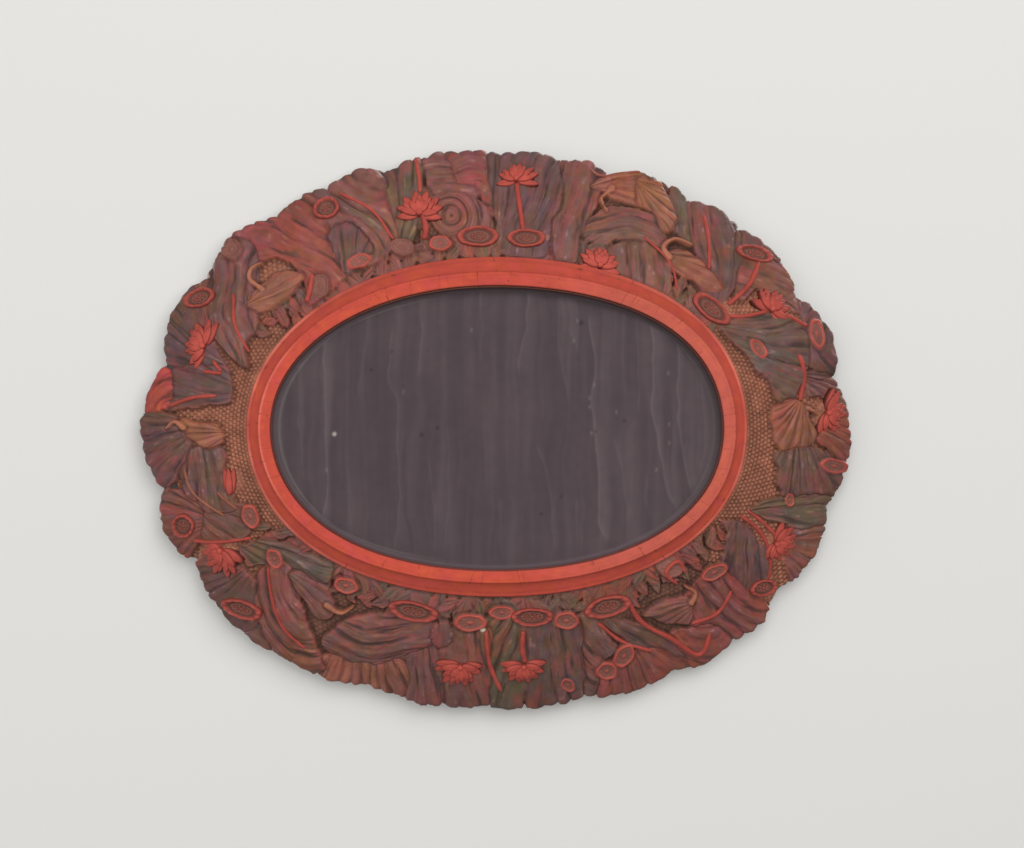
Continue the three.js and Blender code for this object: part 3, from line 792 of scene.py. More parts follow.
# Leaves and folds of leaves, from the left-hand end upwards and round: lacquer, whether its folds fan out or
# run in rings, their hub, how many there are or how far apart, how high it stands, how deep its folds are
# cut, and its outline.
FOLDS = [
    # left and upper left
    ("plum", "fan", (262, 386), 70, 0.7, 0.35, [
        (146, 380), (156, 335), (170, 298), (190, 284), (206, 300), (214, 322), (216, 345), (224, 370),
        (200, 374), (180, 374)]),
    ("russet", "rings", (268, 302), 11.5, 0.9, 0.65, [
        (190, 280), (212, 248), (240, 218), (272, 200), (305, 182), (322, 200), (326, 222), (344, 240),
        (352, 262), (338, 282), (322, 300), (308, 305), (302, 280), (285, 262), (262, 262), (240, 266),
        (222, 276)]),
    ("umber", "rings", (411, 288), 10.5, 1.3, 0.8, [
        (205, 325), (206, 285), (216, 255), (236, 238), (256, 248), (260, 280), (256, 310), (262, 326),
        (248, 345), (248, 368), (234, 366), (222, 348)]),
    ("umber", "rings", (318, 262), 11, 1.0, 0.7, [
        (296, 190), (330, 168), (385, 158), (414, 158), (412, 200), (406, 235), (392, 250), (374, 264),
        (348, 268), (336, 250), (330, 232), (320, 214)]),
    ("plum", "fan", (350, 300), 40, 1.2, 0.2, [
        (328, 232), (344, 222), (360, 230), (372, 250), (360, 262), (348, 276), (334, 262)]),
    # top
    ("moss", "fan", (404, 300), 70, 0.9, 0.4, [
        (384, 160), (414, 152), (424, 165), (420, 200), (412, 240), (400, 250), (394, 225)]),
    ("umber", "rings", (452, 240), 9, 0.8, 0.5, [
        (420, 155), (452, 142), (472, 142), (480, 175), (476, 200), (450, 210), (434, 196)]),
    ("russet", "rings", (470, 250), 10, 1.0, 0.5, [
        (446, 150), (470, 138), (496, 142), (500, 175), (494, 215), (484, 212), (474, 186), (456, 180)]),
    ("umber", "rings", (450, 215), 6.5, 0.6, 0.6, [
        (430, 200), (455, 192), (482, 204), (492, 228), (470, 232), (445, 236), (430, 222)]),
    ("plum", "fan", (524, 430), 150, 1.0, 0.6, [
        (488, 145), (520, 138), (566, 145), (572, 200), (556, 238), (542, 256), (502, 256), (494, 225),
        (490, 190)]),
    ("umber", "rings", (722, 262), 9.5, 1.1, 0.6, [
        (556, 148), (592, 150), (606, 166), (600, 200), (582, 232), (576, 262), (554, 258), (550, 225),
        (562, 195)]),
    # upper right
    ("umber", "fan", (640, 60), 130, 0.8, 0.5, [
        (610, 246), (640, 238), (664, 252), (672, 285), (658, 304), (632, 292), (616, 275)]),
    ("umber", "rings", (612, 302), 9, 1.2, 0.6, [
        (580, 236), (596, 212), (620, 206), (652, 214), (668, 238), (664, 254), (648, 244), (620, 240),
        (600, 246)]),
    ("moss", "fan", (690, 300), 60, 0.8, 0.4, [
        (662, 208), (676, 182), (692, 190), (700, 225), (694, 250), (680, 240), (670, 228)]),
    ("plum", "fan", (714, 360), 90, 1.1, 0.45, [
        (690, 190), (714, 196), (736, 218), (744, 250), (740, 280), (728, 300), (710, 302), (702, 280),
        (692, 250), (688, 225)]),
    ("plum", "fan", (742, 300), 70, 0.8, 0.4, [
        (716, 196), (745, 212), (775, 236), (796, 268), (778, 276), (758, 262), (744, 250), (736, 228)]),
    ("umber", "rings", (738, 336), 8.5, 0.7, 0.5, [
        (742, 262), (775, 258), (796, 280), (812, 302), (796, 314), (772, 300), (756, 290), (744, 304),
        (734, 292)]),
    # right
    ("moss", "fan", (700, 322), 62, 0.9, 0.5, [
        (722, 322), (760, 314), (800, 322), (814, 350), (802, 382), (792, 412), (776, 404), (764, 380),
        (742, 352), (724, 338)]),
    ("plum", "rings", (880, 345), 9.5, 1.0, 0.5, [
        (796, 300), (826, 310), (846, 345), (842, 378), (826, 386), (812, 372), (808, 340)]),
    ("plum", "fan", (790, 372), 60, 0.8, 0.4, [
        (804, 372), (834, 376), (852, 395), (862, 414), (838, 408), (820, 398), (806, 396)]),
    ("russet", "fan", (795, 416), 60, 0.8, 0.5, [
        (818, 428), (860, 408), (864, 440), (858, 474), (836, 464), (826, 450)]),
    ("plum", "fan", (798, 415), 64, 1.1, 0.6, [
        (778, 450), (816, 446), (840, 468), (844, 488), (828, 504), (806, 508), (784, 502), (776, 480)]),
    # lower right
    ("moss", "fan", (728, 512), 64, 0.9, 0.5, [
        (748, 508), (790, 494), (834, 498), (840, 520), (832, 545), (802, 544), (784, 524), (764, 520)]),
    ("umber", "fan", (768, 544), 60, 0.9, 0.5, [
        (792, 532), (840, 526), (842, 552), (818, 572), (798, 586), (784, 566), (796, 548)]),
    ("plum", "fan", (742, 440), 80, 0.8, 0.45, [
        (734, 520), (756, 536), (768, 565), (764, 582), (746, 602), (730, 594), (720, 570), (726, 542)]),
    ("russet", "rings", (770, 552), 8.5, 0.9, 0.6, [
        (686, 588), (720, 570), (746, 590), (768, 606), (760, 632), (728, 640), (702, 632), (682, 616)]),
    ("russet", "rings", (700, 596), 9, 1.0, 0.45, [
        (668, 634), (705, 624), (736, 640), (722, 668), (692, 680), (674, 658)]),
    # bottom
    ("plum", "fan", (590, 606), 56, 0.9, 0.4, [
        (604, 618), (640, 622), (676, 644), (684, 668), (662, 664), (640, 652), (620, 640)]),
    ("russet", "fan", (618, 620), 56, 0.8, 0.5, [
        (634, 650), (670, 652), (694, 672), (664, 696), (622, 706), (596, 700), (590, 682), (600, 666)]),
    ("umber", "rings", (642, 600), 8.5, 1.2, 0.6, [
        (568, 620), (590, 616), (606, 632), (616, 650), (602, 664), (596, 700), (574, 712), (568, 660)]),
    ("plum", "fan", (536, 520), 110, 1.0, 0.6, [
        (522, 622), (575, 616), (582, 650), (582, 712), (545, 718), (522, 700)]),
    ("moss", "fan", (530, 540), 90, 1.1, 0.55, [
        (488, 612), (522, 618), (522, 712), (500, 720), (484, 700), (482, 650)]),
    ("umber", "fan", (466, 560), 84, 0.9, 0.5, [
        (446, 625), (488, 622), (490, 660), (486, 716), (452, 716), (434, 702), (438, 655)]),
    ("umber", "fan", (420, 580), 80, 1.0, 0.6, [
        (404, 640), (432, 640), (440, 660), (438, 712), (410, 712), (398, 684), (398, 655)]),
    ("ochre", "fan", (352, 600), 70, 0.8, 0.5, [
        (318, 655), (345, 650), (380, 658), (404, 662), (404, 700), (370, 698), (335, 696), (312, 680)]),
    ("umber", "rings", (385, 518), 7.5, 1.2, 0.6, [
        (320, 642), (338, 622), (375, 612), (415, 618), (440, 630), (432, 645), (405, 656), (372, 664),
        (342, 658)]),
    ("plum", "fan", (440, 600), 20, 1.4, 0.1, [
        (429, 632), (436, 622), (448, 622), (453, 634), (446, 646), (434, 646)]),
    # lower left
    ("plum", "rings", (300, 590), 9, 0.8, 0.45, [
        (218, 620), (262, 626), (282, 650), (322, 668), (305, 690), (258, 680), (228, 648)]),
    ("plum", "fan", (262, 552), 60, 0.9, 0.5, [
        (196, 560), (240, 566), (264, 590), (260, 622), (235, 634), (206, 612)]),
    ("moss", "fan", (220, 530), 70, 0.6, 0.4, [
        (240, 545), (270, 540), (300, 550), (334, 566), (322, 584), (290, 574), (262, 564), (246, 566)]),
    ("umber", "rings", (347, 565), 8.5, 1.3, 0.8, [
        (258, 572), (280, 560), (296, 575), (302, 605), (314, 640), (328, 668), (302, 672), (274, 652),
        (260, 625), (256, 600)]),
    # left
    ("umber", "fan", (170, 478), 64, 0.8, 0.4, [
        (192, 522), (222, 500), (246, 506), (246, 536), (215, 542), (192, 540)]),
    ("umber", "fan", (215, 520), 50, 0.8, 0.45, [
        (150, 490), (188, 490), (202, 505), (202, 535), (186, 560), (160, 552), (148, 515)]),
    ("plum", "fan", (196, 400), 76, 1.0, 0.5, [
        (176, 458), (205, 443), (226, 450), (224, 480), (238, 506), (216, 514), (194, 502), (180, 482)]),
    ("plum", "fan", (206, 420), 48, 0.9, 0.4, [
        (128, 420), (162, 410), (184, 424), (190, 450), (180, 472), (164, 494), (140, 478), (128, 445)]),
    ("plum", "fan", (262, 392), 60, 0.9, 0.35, [
        (168, 370), (205, 364), (230, 372), (230, 400), (195, 408), (168, 412), (164, 390)]),
    ("scarlet", "rings", (205, 440), 9, 1.2, 0.5, [
        (136, 396), (158, 366), (170, 370), (174, 388), (170, 408), (150, 414), (134, 414)]),
]
for number, (lacquer, kind, hub, veins, rise, cut, outline) in enumerate(FOLDS, 1):
    wall.leaf(outline, hub, veins, lacquer, rise, cut, kind, seed=number)

# Herons in ochre. Feathered bodies and wings first: the hub of their feathers, how many there are to a full
# turn, and their outline. DARK_WINGS numbers those in umber.
DARK_WINGS = (5, 6)
FEATHERS = [
    ((238, 310), 56, [
        (246, 302), (262, 284), (284, 272), (302, 274), (298, 290), (276, 306), (256, 312)]),
    ((580, 190), 56, [
        (590, 186), (612, 174), (642, 172), (662, 186), (654, 206), (632, 206), (610, 198)]),
    ((634, 180), 60, [
        (640, 176), (664, 190), (674, 214), (672, 232), (660, 230), (650, 212), (636, 204)]),
    ((654, 252), 60, [
        (662, 256), (680, 250), (702, 262), (718, 276), (722, 290), (704, 290), (692, 282), (672, 274)]),
    ((800, 396), 50, [
        (772, 406), (790, 398), (808, 404), (810, 420), (816, 438), (800, 448), (780, 450), (772, 430)]),
    ((700, 600), 54, [
        (640, 614), (658, 602), (680, 594), (694, 604), (692, 620), (675, 624), (655, 620)]),
    ((280, 566), 60, [
        (288, 572), (310, 576), (330, 592), (336, 612), (318, 618), (304, 602), (292, 590)]),
    ((232, 432), 54, [
        (180, 420), (200, 422), (220, 424), (224, 440), (205, 448), (186, 438)]),
]
for number, (hub, veins, outline) in enumerate(FEATHERS):
    lacquer = "umber" if number in DARK_WINGS else "ochre"
    wall.leaf(outline, hub, veins, lacquer, 1.3, 0.4, roll=0.1, frill=0.3, seed=80 + number)
# Necks, each with its line and width.
NECKS = [
    ([(262, 290), (250, 280), (252, 270), (262, 264)], 5),
    ([(612, 190), (600, 200), (606, 212)], 5),
    ([(668, 258), (662, 248), (674, 240), (690, 246)], 6),
    ([(806, 408), (816, 414), (826, 418)], 4),
    ([(690, 602), (694, 592), (684, 586)], 5),
    ([(326, 604), (340, 612), (352, 606)], 5),
    ([(184, 428), (176, 422), (168, 428)], 5),
]
for line, width in NECKS:
    wall.ribbon(line, width, "ochre", rise=1.2)

# Open flowers and rings that stay in the wall's own lacquer: place, length, width, turn and lacquer.
ROSETTES = [
    ((816, 334), 32, 15, 80, "scarlet"), ((757, 349), 24, 13, 50, "scarlet"),
    ((401, 248), 26, 18, 10, "russet"), ((439, 244), 24, 16, 0, "scarlet"),
    ((358, 262), 26, 14, -20, "scarlet"), ((319, 287), 20, 26, 10, "russet"),
    ((232, 250), 20, 22, 0, "russet"), ((250, 516), 26, 17, 70, "scarlet"),
    ((274, 558), 22, 15, 60, "scarlet"), ((345, 585), 26, 16, 15, "scarlet"),
    ((469, 622), 34, 18, 0, "scarlet"), ((565, 620), 26, 18, 0, "scarlet"),
    ((623, 655), 28, 18, -50, "scarlet"), ((606, 670), 22, 18, 0, "scarlet"),
    ((669, 567), 28, 22, 0, "russet"), ((713, 572), 30, 14, -25, "scarlet"),
    ((833, 466), 30, 15, 10, "scarlet"), ((788, 500), 9, 14, 0, "scarlet"),
    ((500, 612), 26, 14, 0, "scarlet"), ((567, 684), 16, 12, 40, "scarlet"),
]
for middle, long, wide, turn, lacquer in ROSETTES:
    wall.rosette(middle, long, wide, turn, lacquer, rise=1.3)

# Stems, each with its line on the plan and its width.
STEMS = [
    ([(171, 406), (195, 398), (217, 396)], 3), ([(195, 540), (222, 541), (250, 538)], 3),
    ([(757, 264), (748, 285), (727, 305)], 4), ([(727, 316), (745, 316), (765, 312)], 3),
    ([(785, 315), (797, 321), (806, 326)], 3), ([(797, 355), (803, 378), (800, 400)], 4),
    ([(747, 510), (762, 522), (777, 537)], 3), ([(740, 516), (760, 532), (770, 556), (768, 578)], 3),
    ([(522, 630), (521, 645), (524, 660)], 4), ([(485, 630), (488, 660), (500, 688)], 3.5),
    ([(626, 598), (640, 622), (668, 636), (698, 654), (708, 632)], 4),
    ([(423, 240), (425, 228), (421, 212)], 5), ([(417, 160), (419, 178), (420, 194)], 3.5),
    ([(516, 186), (519, 210), (522, 232)], 4), ([(703, 218), (707, 245), (707, 270)], 3),
    ([(312, 276), (310, 290), (306, 302)], 4), ([(205, 372), (222, 374)], 3), ([(214, 362), (222, 372)], 3),
    ([(340, 196), (372, 212), (392, 240)], 2.5), ([(236, 296), (236, 325), (248, 352)], 3),
    ([(268, 566), (272, 596), (284, 626), (306, 646)], 2.5),
    ([(676, 584), (664, 572), (676, 560), (684, 572)], 3), ([(642, 238), (668, 262), (676, 290)], 2),
    ([(730, 590), (716, 612), (690, 622)], 3), ([(596, 622), (618, 640), (650, 650)], 3),
]
PALE_LINES = [
    ([(186, 468), (192, 488), (202, 500), (224, 515)], 2), ([(218, 492), (226, 500), (236, 508)], 2),
    ([(588, 170), (604, 178), (640, 172)], 2),
]
# Blossoms and seed pods, which are pieces of their own: place, sizes in millimetres, and heading or turn.
BLOSSOMS = [
    ((833, 417), 13, 20), ((774, 301), 13, -50), ((600, 257), 11.5, -80), ((516, 175), 11.5, -90),
    ((420, 205), 13.5, -90), ((196, 342), 13.5, 205), ((229, 482), 9.5, -90), ((218, 559), 14, 130),
    ((459, 674), 13, 95), ((523, 673), 12, 90), ((783, 547), 12, 30),
]
PODS = [
    ((710, 309), 15, 7.5, 38), ((753, 255), 14, 6, 0), ((525, 239), 13, 6.5, 0), ((477, 237), 14, 7.5, 0),
    ((327, 211), 9, 9, 0), ((201, 300), 12, 7, 0), ((185, 525), 9.5, 8, -40), ((243, 608), 15, 7, 5),
    ((412, 610), 17, 7, 12), ((531, 616), 14, 6.5, 0), ((606, 606), 16, 7.5, -14), ((762, 587), 11, 6, 5),
]
clear_seats(wall, BLOSSOMS + PODS, 0.6)

# The relief dies away at the foot and on the lip. A flake is missing at one place.
FLAKE = (481.5, 629)
wall_fade = ease(t / 0.06) * mix(1, 0.35, ease((np.arange(len(t)) - WALL_ROWS) / 24))
loss = (((plan_u - FLAKE[0]) / 2.6) ** 2 + ((plan_v - FLAKE[1]) / 1.9) ** 2) ** 2
loss = np.clip(1.5 * np.exp(-loss), 0, 1)
carved, wall_relief, wall_colour, wall_hollow = cut_surface(wall, base, normal, wall_fade[None, :], 7, loss)
carved[:, :, 2] = np.minimum(carved[:, :, 2], HEIGHT)
wall_colour = mix(wall_colour, tone(228, 206, 184), loss[:, :, None])
wall_hollow = wall_hollow * (1 - loss)

back_rows = list(range(0, len(t), 16)) + [len(t) - 1]
back_t = np.minimum(t[back_rows], LIP_SHARE)
behind = surface(around_wall, back_t, outer_face(back_t) + OUTER_LACQUER, 0 * back_t)
add_shell("carved_wall", around_wall, WALL_CUTS, carved, behind, back_rows, wall_colour, wall_hollow,
          "outer_lacquer")


# Blossoms, seed pods, stems and pearls, which stand on the wall.

class Bed:
    """A carved surface that pieces stand on. Its arrays run by columns and rows, of which the last few may be
    closed to pieces."""

    def __init__(self, u, v, base, normal, relief, rows):
        self.u, self.v, self.relief = u[:, :rows], v[:, :rows], relief[:, :rows]
        self.base, self.normal = base[:, :rows], normal[:, :rows]
        self.rows = rows

    def spot(self, place):
        """Column and row nearest a place on the plan."""
        return divmod(int(np.argmin((self.u - place[0]) ** 2 + (self.v - place[1]) ** 2)), self.rows)

    def seat(self, place, heading, under):
        """A frame on the surface: its origin, an axis along a heading on the plan in degrees, one across, and
        one standing out. under is the reach within which it clears the relief."""
        spot = self.spot(place)
        out = self.normal[spot]
        ahead = np.array([math.cos(math.radians(heading)), math.sin(math.radians(heading)), 0.0])
        ahead -= out * ahead.dot(out)
        ahead /= np.linalg.norm(ahead)
        close = (self.u - place[0]) ** 2 + (self.v - place[1]) ** 2 < under ** 2
        height = float(np.percentile(self.relief[close], 75))
        return self.base[spot] + out * height, ahead, np.cross(out, ahead), out


outside = Bed(plan_u, plan_v, base, normal, wall_relief, WALL_ROWS)
# Height of a piece's lowest points, which are sunk in the surface that it stands on.
SKIRT = -1.8


class Shapes:
    """Closed shapes gathered into one piece, with the colours of their points and the painted shade of their
    low parts.
    """

    def __init__(self):
        self.points, self.faces, self.colours, self.hollows = [], [], [], []
        self.count = 0

    def add(self, axes, local, faces, colours, hollows):
        origin, ahead, across, out = axes
        placed = origin + local[:, [0]] * ahead + local[:, [1]] * across + local[:, [2]] * out
        self.faces += [tuple(i + self.count for i in face) for face in outward(placed, faces)]
        self.points.append(placed)
        self.colours.append(colours)
        self.hollows.append(hollows)
        self.count += len(placed)

    def finish(self, name, replaces=()):
        add_piece(name, np.concatenate(self.points), self.faces, "red_lacquer", np.concatenate(self.colours),
                  np.concatenate(self.hollows), None, replaces)


def petal(shapes, axes, heading, length, width, lift, cup=0.0):
    """One pointed petal from the frame's origin: a pillow with veins and a groove down its middle, on a
    skirt. cup turns its tip up."""
    a, b = np.meshgrid(np.linspace(0, 1, 13), np.linspace(-1, 1, 11), indexing="ij")
    x = length * (0.04 + a)
    y = b * width / 2 * (0.1 + 0.9 * np.sin(math.pi * a ** 0.75) ** 0.7)
    crown = np.sin(math.pi * (0.15 + 0.77 * a)) * np.sqrt(np.clip(1 - b * b, 0, 1))
    groove = 0.16 * np.exp(-(b / 0.14) ** 2) * np.sin(math.pi * a)
    veins = 0.05 * np.cos(b * 6 * math.pi) * (1 - np.abs(b)) - groove
    z = lift + 0.7 * crown + veins + cup * a * a
    c, s = math.cos(math.radians(heading)), math.sin(math.radians(heading))
    top = np.stack([x * c - y * s, x * s + y * c, z], axis=2).reshape(-1, 3)
    skirt = top.copy()
    skirt[:, 2] = SKIRT
    rows, columns = a.shape
    under = len(top)
    faces = []
    for i in range(rows - 1):
        for j in range(columns - 1):
            k = i * columns + j
            quad = (k, k + columns, k + columns + 1, k + 1)
            faces += [quad, tuple(q + under for q in reversed(quad))]
    edge = ([i * columns for i in range(rows)] + [(rows - 1) * columns + j for j in range(1, columns)]
            + [i * columns + columns - 1 for i in range(rows - 2, -1, -1)] + list(range(columns - 2, 0, -1)))
    faces += [(f, e, e + under, f + under) for e, f in zip(edge, edge[1:] + edge[:1])]
    up = np.clip(0.12 + 0.95 * crown + 1.5 * veins, 0, 1).ravel()
    # The skirt is painted dark as shade beneath the petal, and the petal's low parts take painted shade.
    tint = 0.94 * layered("scarlet", up, 0.4 * a.ravel())
    shapes.add(axes, np.concatenate([top, skirt]), faces, np.concatenate([tint, tint * 0.4]),
               np.concatenate([0.5 * (1 - up), np.ones(under)]))


def boss(shapes, axes, radius, lift, height):
    """A small round boss on a skirt, at the frame's origin."""
    steps = 14
    turns = np.arange(steps) * 2 * math.pi / steps
    rings = [(1.0, SKIRT), (1.0, lift), (0.86, lift + 0.55 * height), (0.5, lift + 0.9 * height)]
    local = [(radius * r * math.cos(u), radius * r * math.sin(u), h) for r, h in rings for u in turns]
    local += [(0, 0, lift + height), (0, 0, SKIRT)]
    up = np.concatenate([np.repeat([0.0, 0.35, 0.8, 1.0], steps), [1.0, 0.0]])
    tint = layered("scarlet", up, 0 * up)
    # The low rings take painted shade.
    shapes.add(axes, np.array(local), bowl_faces(steps, len(rings)), tint, 0.5 * (1 - up))


def bowl_faces(steps, rings):
    """Faces over rings of points, one ring after another, closed by a middle point at the last and at the
    first."""
    faces = []
    last = (rings - 1) * steps
    top, bottom = rings * steps, rings * steps + 1
    for i in range(steps):
        j = (i + 1) % steps
        faces += [(k + i, k + j, k + steps + j, k + steps + i) for k in range(0, last, steps)]
        faces += [(last + i, last + j, top), (j, i, bottom)]
    return faces


# Rows of a blossom's petals, from its back to its front: their headings, length and width as shares of the
# blossom's width, how far they stand out, and how far their tips turn up.
PETAL_ROWS = [
    ((-100, -72, -42, -14, 14, 42, 72, 100), 0.6, 0.27, 0.1, 0.3),
    ((-84, -52, -26, 0, 26, 52, 84), 0.47, 0.24, 0.75, 0.35),
    ((-36, -12, 12, 36), 0.36, 0.21, 1.3, 0.4),
]


def blossom(bed, place, width, heading):
    """A lotus seen from its side: rows of petals that fan out from the top of its stem."""
    shapes = Shapes()
    origin, *axes = bed.seat(place, heading, width / PLAN_UNIT * 0.3)
    axes = (origin - axes[0] * 0.3 * width, *axes)
    for row, (fan, reach, broad, lift, cup) in enumerate(PETAL_ROWS):
        for number, turn in enumerate(fan):
            swing = math.sin(3 * number + place[1] + row)
            petal(shapes, axes, turn + 5 * swing, reach * width * (1 + 0.1 * math.sin(7 * number + place[0])),
                  broad * width * (1 + 0.08 * swing), lift - 0.15 * (number % 2), cup)
    boss(shapes, axes, 0.085 * width, 1.2, 0.9)
    return shapes


def bud(bed, place, width, heading):
    """A closed bud of three long petals."""
    shapes = Shapes()
    origin, *axes = bed.seat(place, heading, width / PLAN_UNIT * 0.3)
    axes = (origin - axes[0] * width * 0.5, *axes)
    for turn, broad, lift in ((-11, 0.32, 0.2), (11, 0.32, 0.2), (0, 0.3, 0.8)):
        petal(shapes, axes, turn, width * 0.95, broad * width, lift)
    return shapes


# Section of a pod from its skirt inwards: share of the way out, height, and how near a crest it is.
POD_SECTION = [
    (1.0, SKIRT, 0), (1.01, 0.1, 0.2), (1.0, 0.55, 0.4), (0.96, 0.95, 0.55), (0.9, 1.12, 0.9),
    (0.82, 1.12, 0.9), (0.75, 0.9, 0.5), (0.7, 0.55, 0.35), (0.65, 0.28, 0.15), (0.55, 0.25, 0.2),
    (0.5, 0.45, 0.6), (0.44, 0.48, 0.7), (0.39, 0.25, 0.3), (0.2, 0.28, 0.4),
]
seeds = []


def seed_pod(bed, place, long, wide, turn):
    """A seed pod seen askew: a thick lobed lip round a sunk face, a lesser ring in it, and seeds."""
    shapes = Shapes()
    axes = bed.seat(place, turn, long / PLAN_UNIT * 0.4)
    steps = 72
    turns = np.arange(steps) * 2 * math.pi / steps
    lobed = 1 + 0.018 * np.cos(5 * turns + place[0]) + 0.02 * np.sin(3 * turns + place[1])
    local, up, faced = [], [], []
    for r, h, crest in POD_SECTION:
        lift = h if h < 0 else h * (1 + 0.14 * np.cos(11 * turns + place[0]))
        local.append(np.stack([r * long / 2 * np.cos(turns) * lobed, r * wide / 2 * np.sin(turns) * lobed,
                               0 * turns + lift], axis=1))
        up.append(np.full(steps, crest))
        faced.append(np.full(steps, 0.1 if r > 0.68 else 0.8))
    local = np.concatenate(local + [[(0, 0, 0.3), (0, 0, SKIRT)]])
    up = np.concatenate(up + [[0.4, 0.0]])
    faced = np.concatenate(faced + [[0.75, 0.75]])
    tint = mix(0.9 * layered("scarlet", up, 1 + 0 * up), layered("moss", up, 0 * up), faced[:, None])
    # The low parts take painted shade.
    shapes.add(axes, local, bowl_faces(steps, len(POD_SECTION)), tint, 0.5 * (1 - up))
    origin, ahead, across, out = axes
    count = max(5, round(long * 0.55))
    for k in range(count + 1):
        u, r = 2 * math.pi * (k + 0.5) / count, 0.29 if k < count else 0
        x, y = r * long / 2 * math.cos(u), r * wide / 2 * math.sin(u)
        seeds.append(origin + x * ahead + y * across + 0.3 * out)
    return shapes


# The place of the one blossom that is still a bud.
BUD = (229, 482)
for number, (place, width, heading) in enumerate(BLOSSOMS, 1):
    flower = (bud if place == BUD else blossom)(outside, place, width, heading)
    flower.finish(f"blossom_{number}", (f"red_bloom_{number}",))
for number, (place, long, wide, turn) in enumerate(PODS, 1):
    seed_pod(outside, place, long, wide, turn).finish(f"pod_{number}", (f"seed_pod_{number}",))


# Stems and pearls grow from lines and points by geometry nodes.

def growing_tree(name):
    """An empty tree with a geometry, a count and a material to take in, and a geometry to give out."""
    tree = bpy.data.node_groups.new(name, "GeometryNodeTree")
    for socket, kind in (("Geometry", "NodeSocketGeometry"), ("Sides", "NodeSocketInt"),
                         ("Lacquer", "NodeSocketMaterial")):
        tree.interface.new_socket(socket, in_out="INPUT", socket_type=kind)
    tree.interface.new_socket("Geometry", in_out="OUTPUT", socket_type="NodeSocketGeometry")
    return tree, tree.nodes.new("NodeGroupInput"), tree.nodes.new("NodeGroupOutput")


def end_tree(tree, enter, leave, geometry):
    """Ends a tree: real geometry, with its lacquer."""
    real = node(tree, "GeometryNodeRealizeInstances", {"Geometry": geometry})["Geometry"]
    coat = node(tree, "GeometryNodeSetMaterial", {"Geometry": real, "Material": enter.outputs["Lacquer"]})
    tree.links.new(coat["Geometry"], leave.inputs["Geometry"])
    return tree


def own_thickness(tree):
    """How thick each point says it is."""
    return node(tree, "GeometryNodeInputNamedAttribute", {"Name": "thick"}, data_type="FLOAT")["Attribute"]


def stem_tree():
    """Rounds each line into a stem with closed ends, as thick at each point as the point says."""
    tree, enter, leave = growing_tree("round_stems")
    line = node(tree, "GeometryNodeMeshToCurve", {"Mesh": enter.outputs["Geometry"]})["Curve"]
    ring = node(tree, "GeometryNodeCurvePrimitiveCircle", {
        "Resolution": enter.outputs["Sides"], "Radius": 1.0})["Curve"]
    stem = node(tree, "GeometryNodeCurveToMesh", {
        "Curve": line, "Profile Curve": ring, "Scale": own_thickness(tree), "Fill Caps": True})["Mesh"]
    return end_tree(tree, enter, leave, stem)


def pearl_tree():
    """Sets a pearl on each point, as thick as the point says."""
    tree, enter, leave = growing_tree("set_pearls")
    pearl = node(tree, "GeometryNodeMeshUVSphere", {
        "Segments": enter.outputs["Sides"], "Rings": 5, "Radius": 1.0})["Mesh"]
    set_pearls = node(tree, "GeometryNodeInstanceOnPoints", {
        "Points": enter.outputs["Geometry"], "Instance": pearl, "Scale": own_thickness(tree)})["Instances"]
    return end_tree(tree, enter, leave, set_pearls)


def grow(name, tree, sides, points, edges, thick, lacquer, slot):
    """Grows a piece from points in millimetres. lacquer has a colour for each."""
    line = bpy.data.meshes.new(name + "_line")
    line.from_pydata((np.asarray(points) * MM).tolist(), edges, [])
    line.attributes.new("thick", "FLOAT", "POINT").data.foreach_set("value", np.asarray(thick) * MM)
    coat_points(line, lacquer)
    source = set_out(name + "_line", line)
    growth = source.modifiers.new(name, "NODES")
    growth.node_group = tree
    named = {item.name: item.identifier for item in tree.interface.items_tree if item.in_out == "INPUT"}
    growth[named["Sides"]] = sides
    growth[named["Lacquer"]] = FINISHES[slot]
    view = bpy.context.evaluated_depsgraph_get()
    mesh = bpy.data.meshes.new_from_object(source.evaluated_get(view))
    bpy.data.objects.remove(source)
    bpy.data.meshes.remove(line)
    mesh.name = name
    mesh.shade_smooth()
    hand_over(name, mesh)


def grow_pearls(name, points, size, lacquer, sides=8, slot="red_lacquer"):
    """Grows pearls of one size on points. lacquer has a colour for all of them, or one for each."""
    tones = np.broadcast_to(lacquer, (len(points), 3))
    grow(name, pearl_tree(), sides, points, [], [size] * len(points), tones, slot)


def grown_stems(name, bed, lines, lacquer, lift):
    """Stems laid over the relief along lines on the plan, each with its width there."""
    points, edges, thick, tones = [], [], [], []
    for number, (line, width) in enumerate(lines):
        way = smooth_line(line, 9)
        column, row = np.array([bed.spot(place) for place in way]).T
        height = bed.relief[column, row]
        reach = np.pad(height, 4, mode="edge")
        height = np.mean([reach[k:k + len(height)] for k in range(9)], axis=0)
        place = bed.base[column, row] + bed.normal[column, row] * (height + lift)[:, None]
        for _ in range(3):
            place[1:-1] = (place[:-2] + 2 * place[1:-1] + place[2:]) / 4
        share = np.linspace(0, 1, len(place))
        ends = ease(share / 0.08) * ease((1 - share) / 0.08)
        edges += [(len(points) + k, len(points) + k + 1) for k in range(len(place) - 1)]
        points += list(place)
        knots = 1 + 0.1 * np.sin(share * 19 + number)
        thick += list(0.65 * width * PLAN_UNIT * (0.55 + 0.45 * ends) * knots)
        tones += [mix(LACQUERS[lacquer][1], LACQUERS[lacquer][2], 0.9 if number % 3 else 0.4)] * len(place)
    grow(name, stem_tree(), 10, points, edges, thick, tones, "red_lacquer")


grown_stems("stems", outside, STEMS, "scarlet", 0.25)
grown_stems("pale_stems", outside, PALE_LINES, "ochre", 0.15)
grow_pearls("pod_seeds", seeds, SEED_SIZE, LACQUERS["russet"][0])

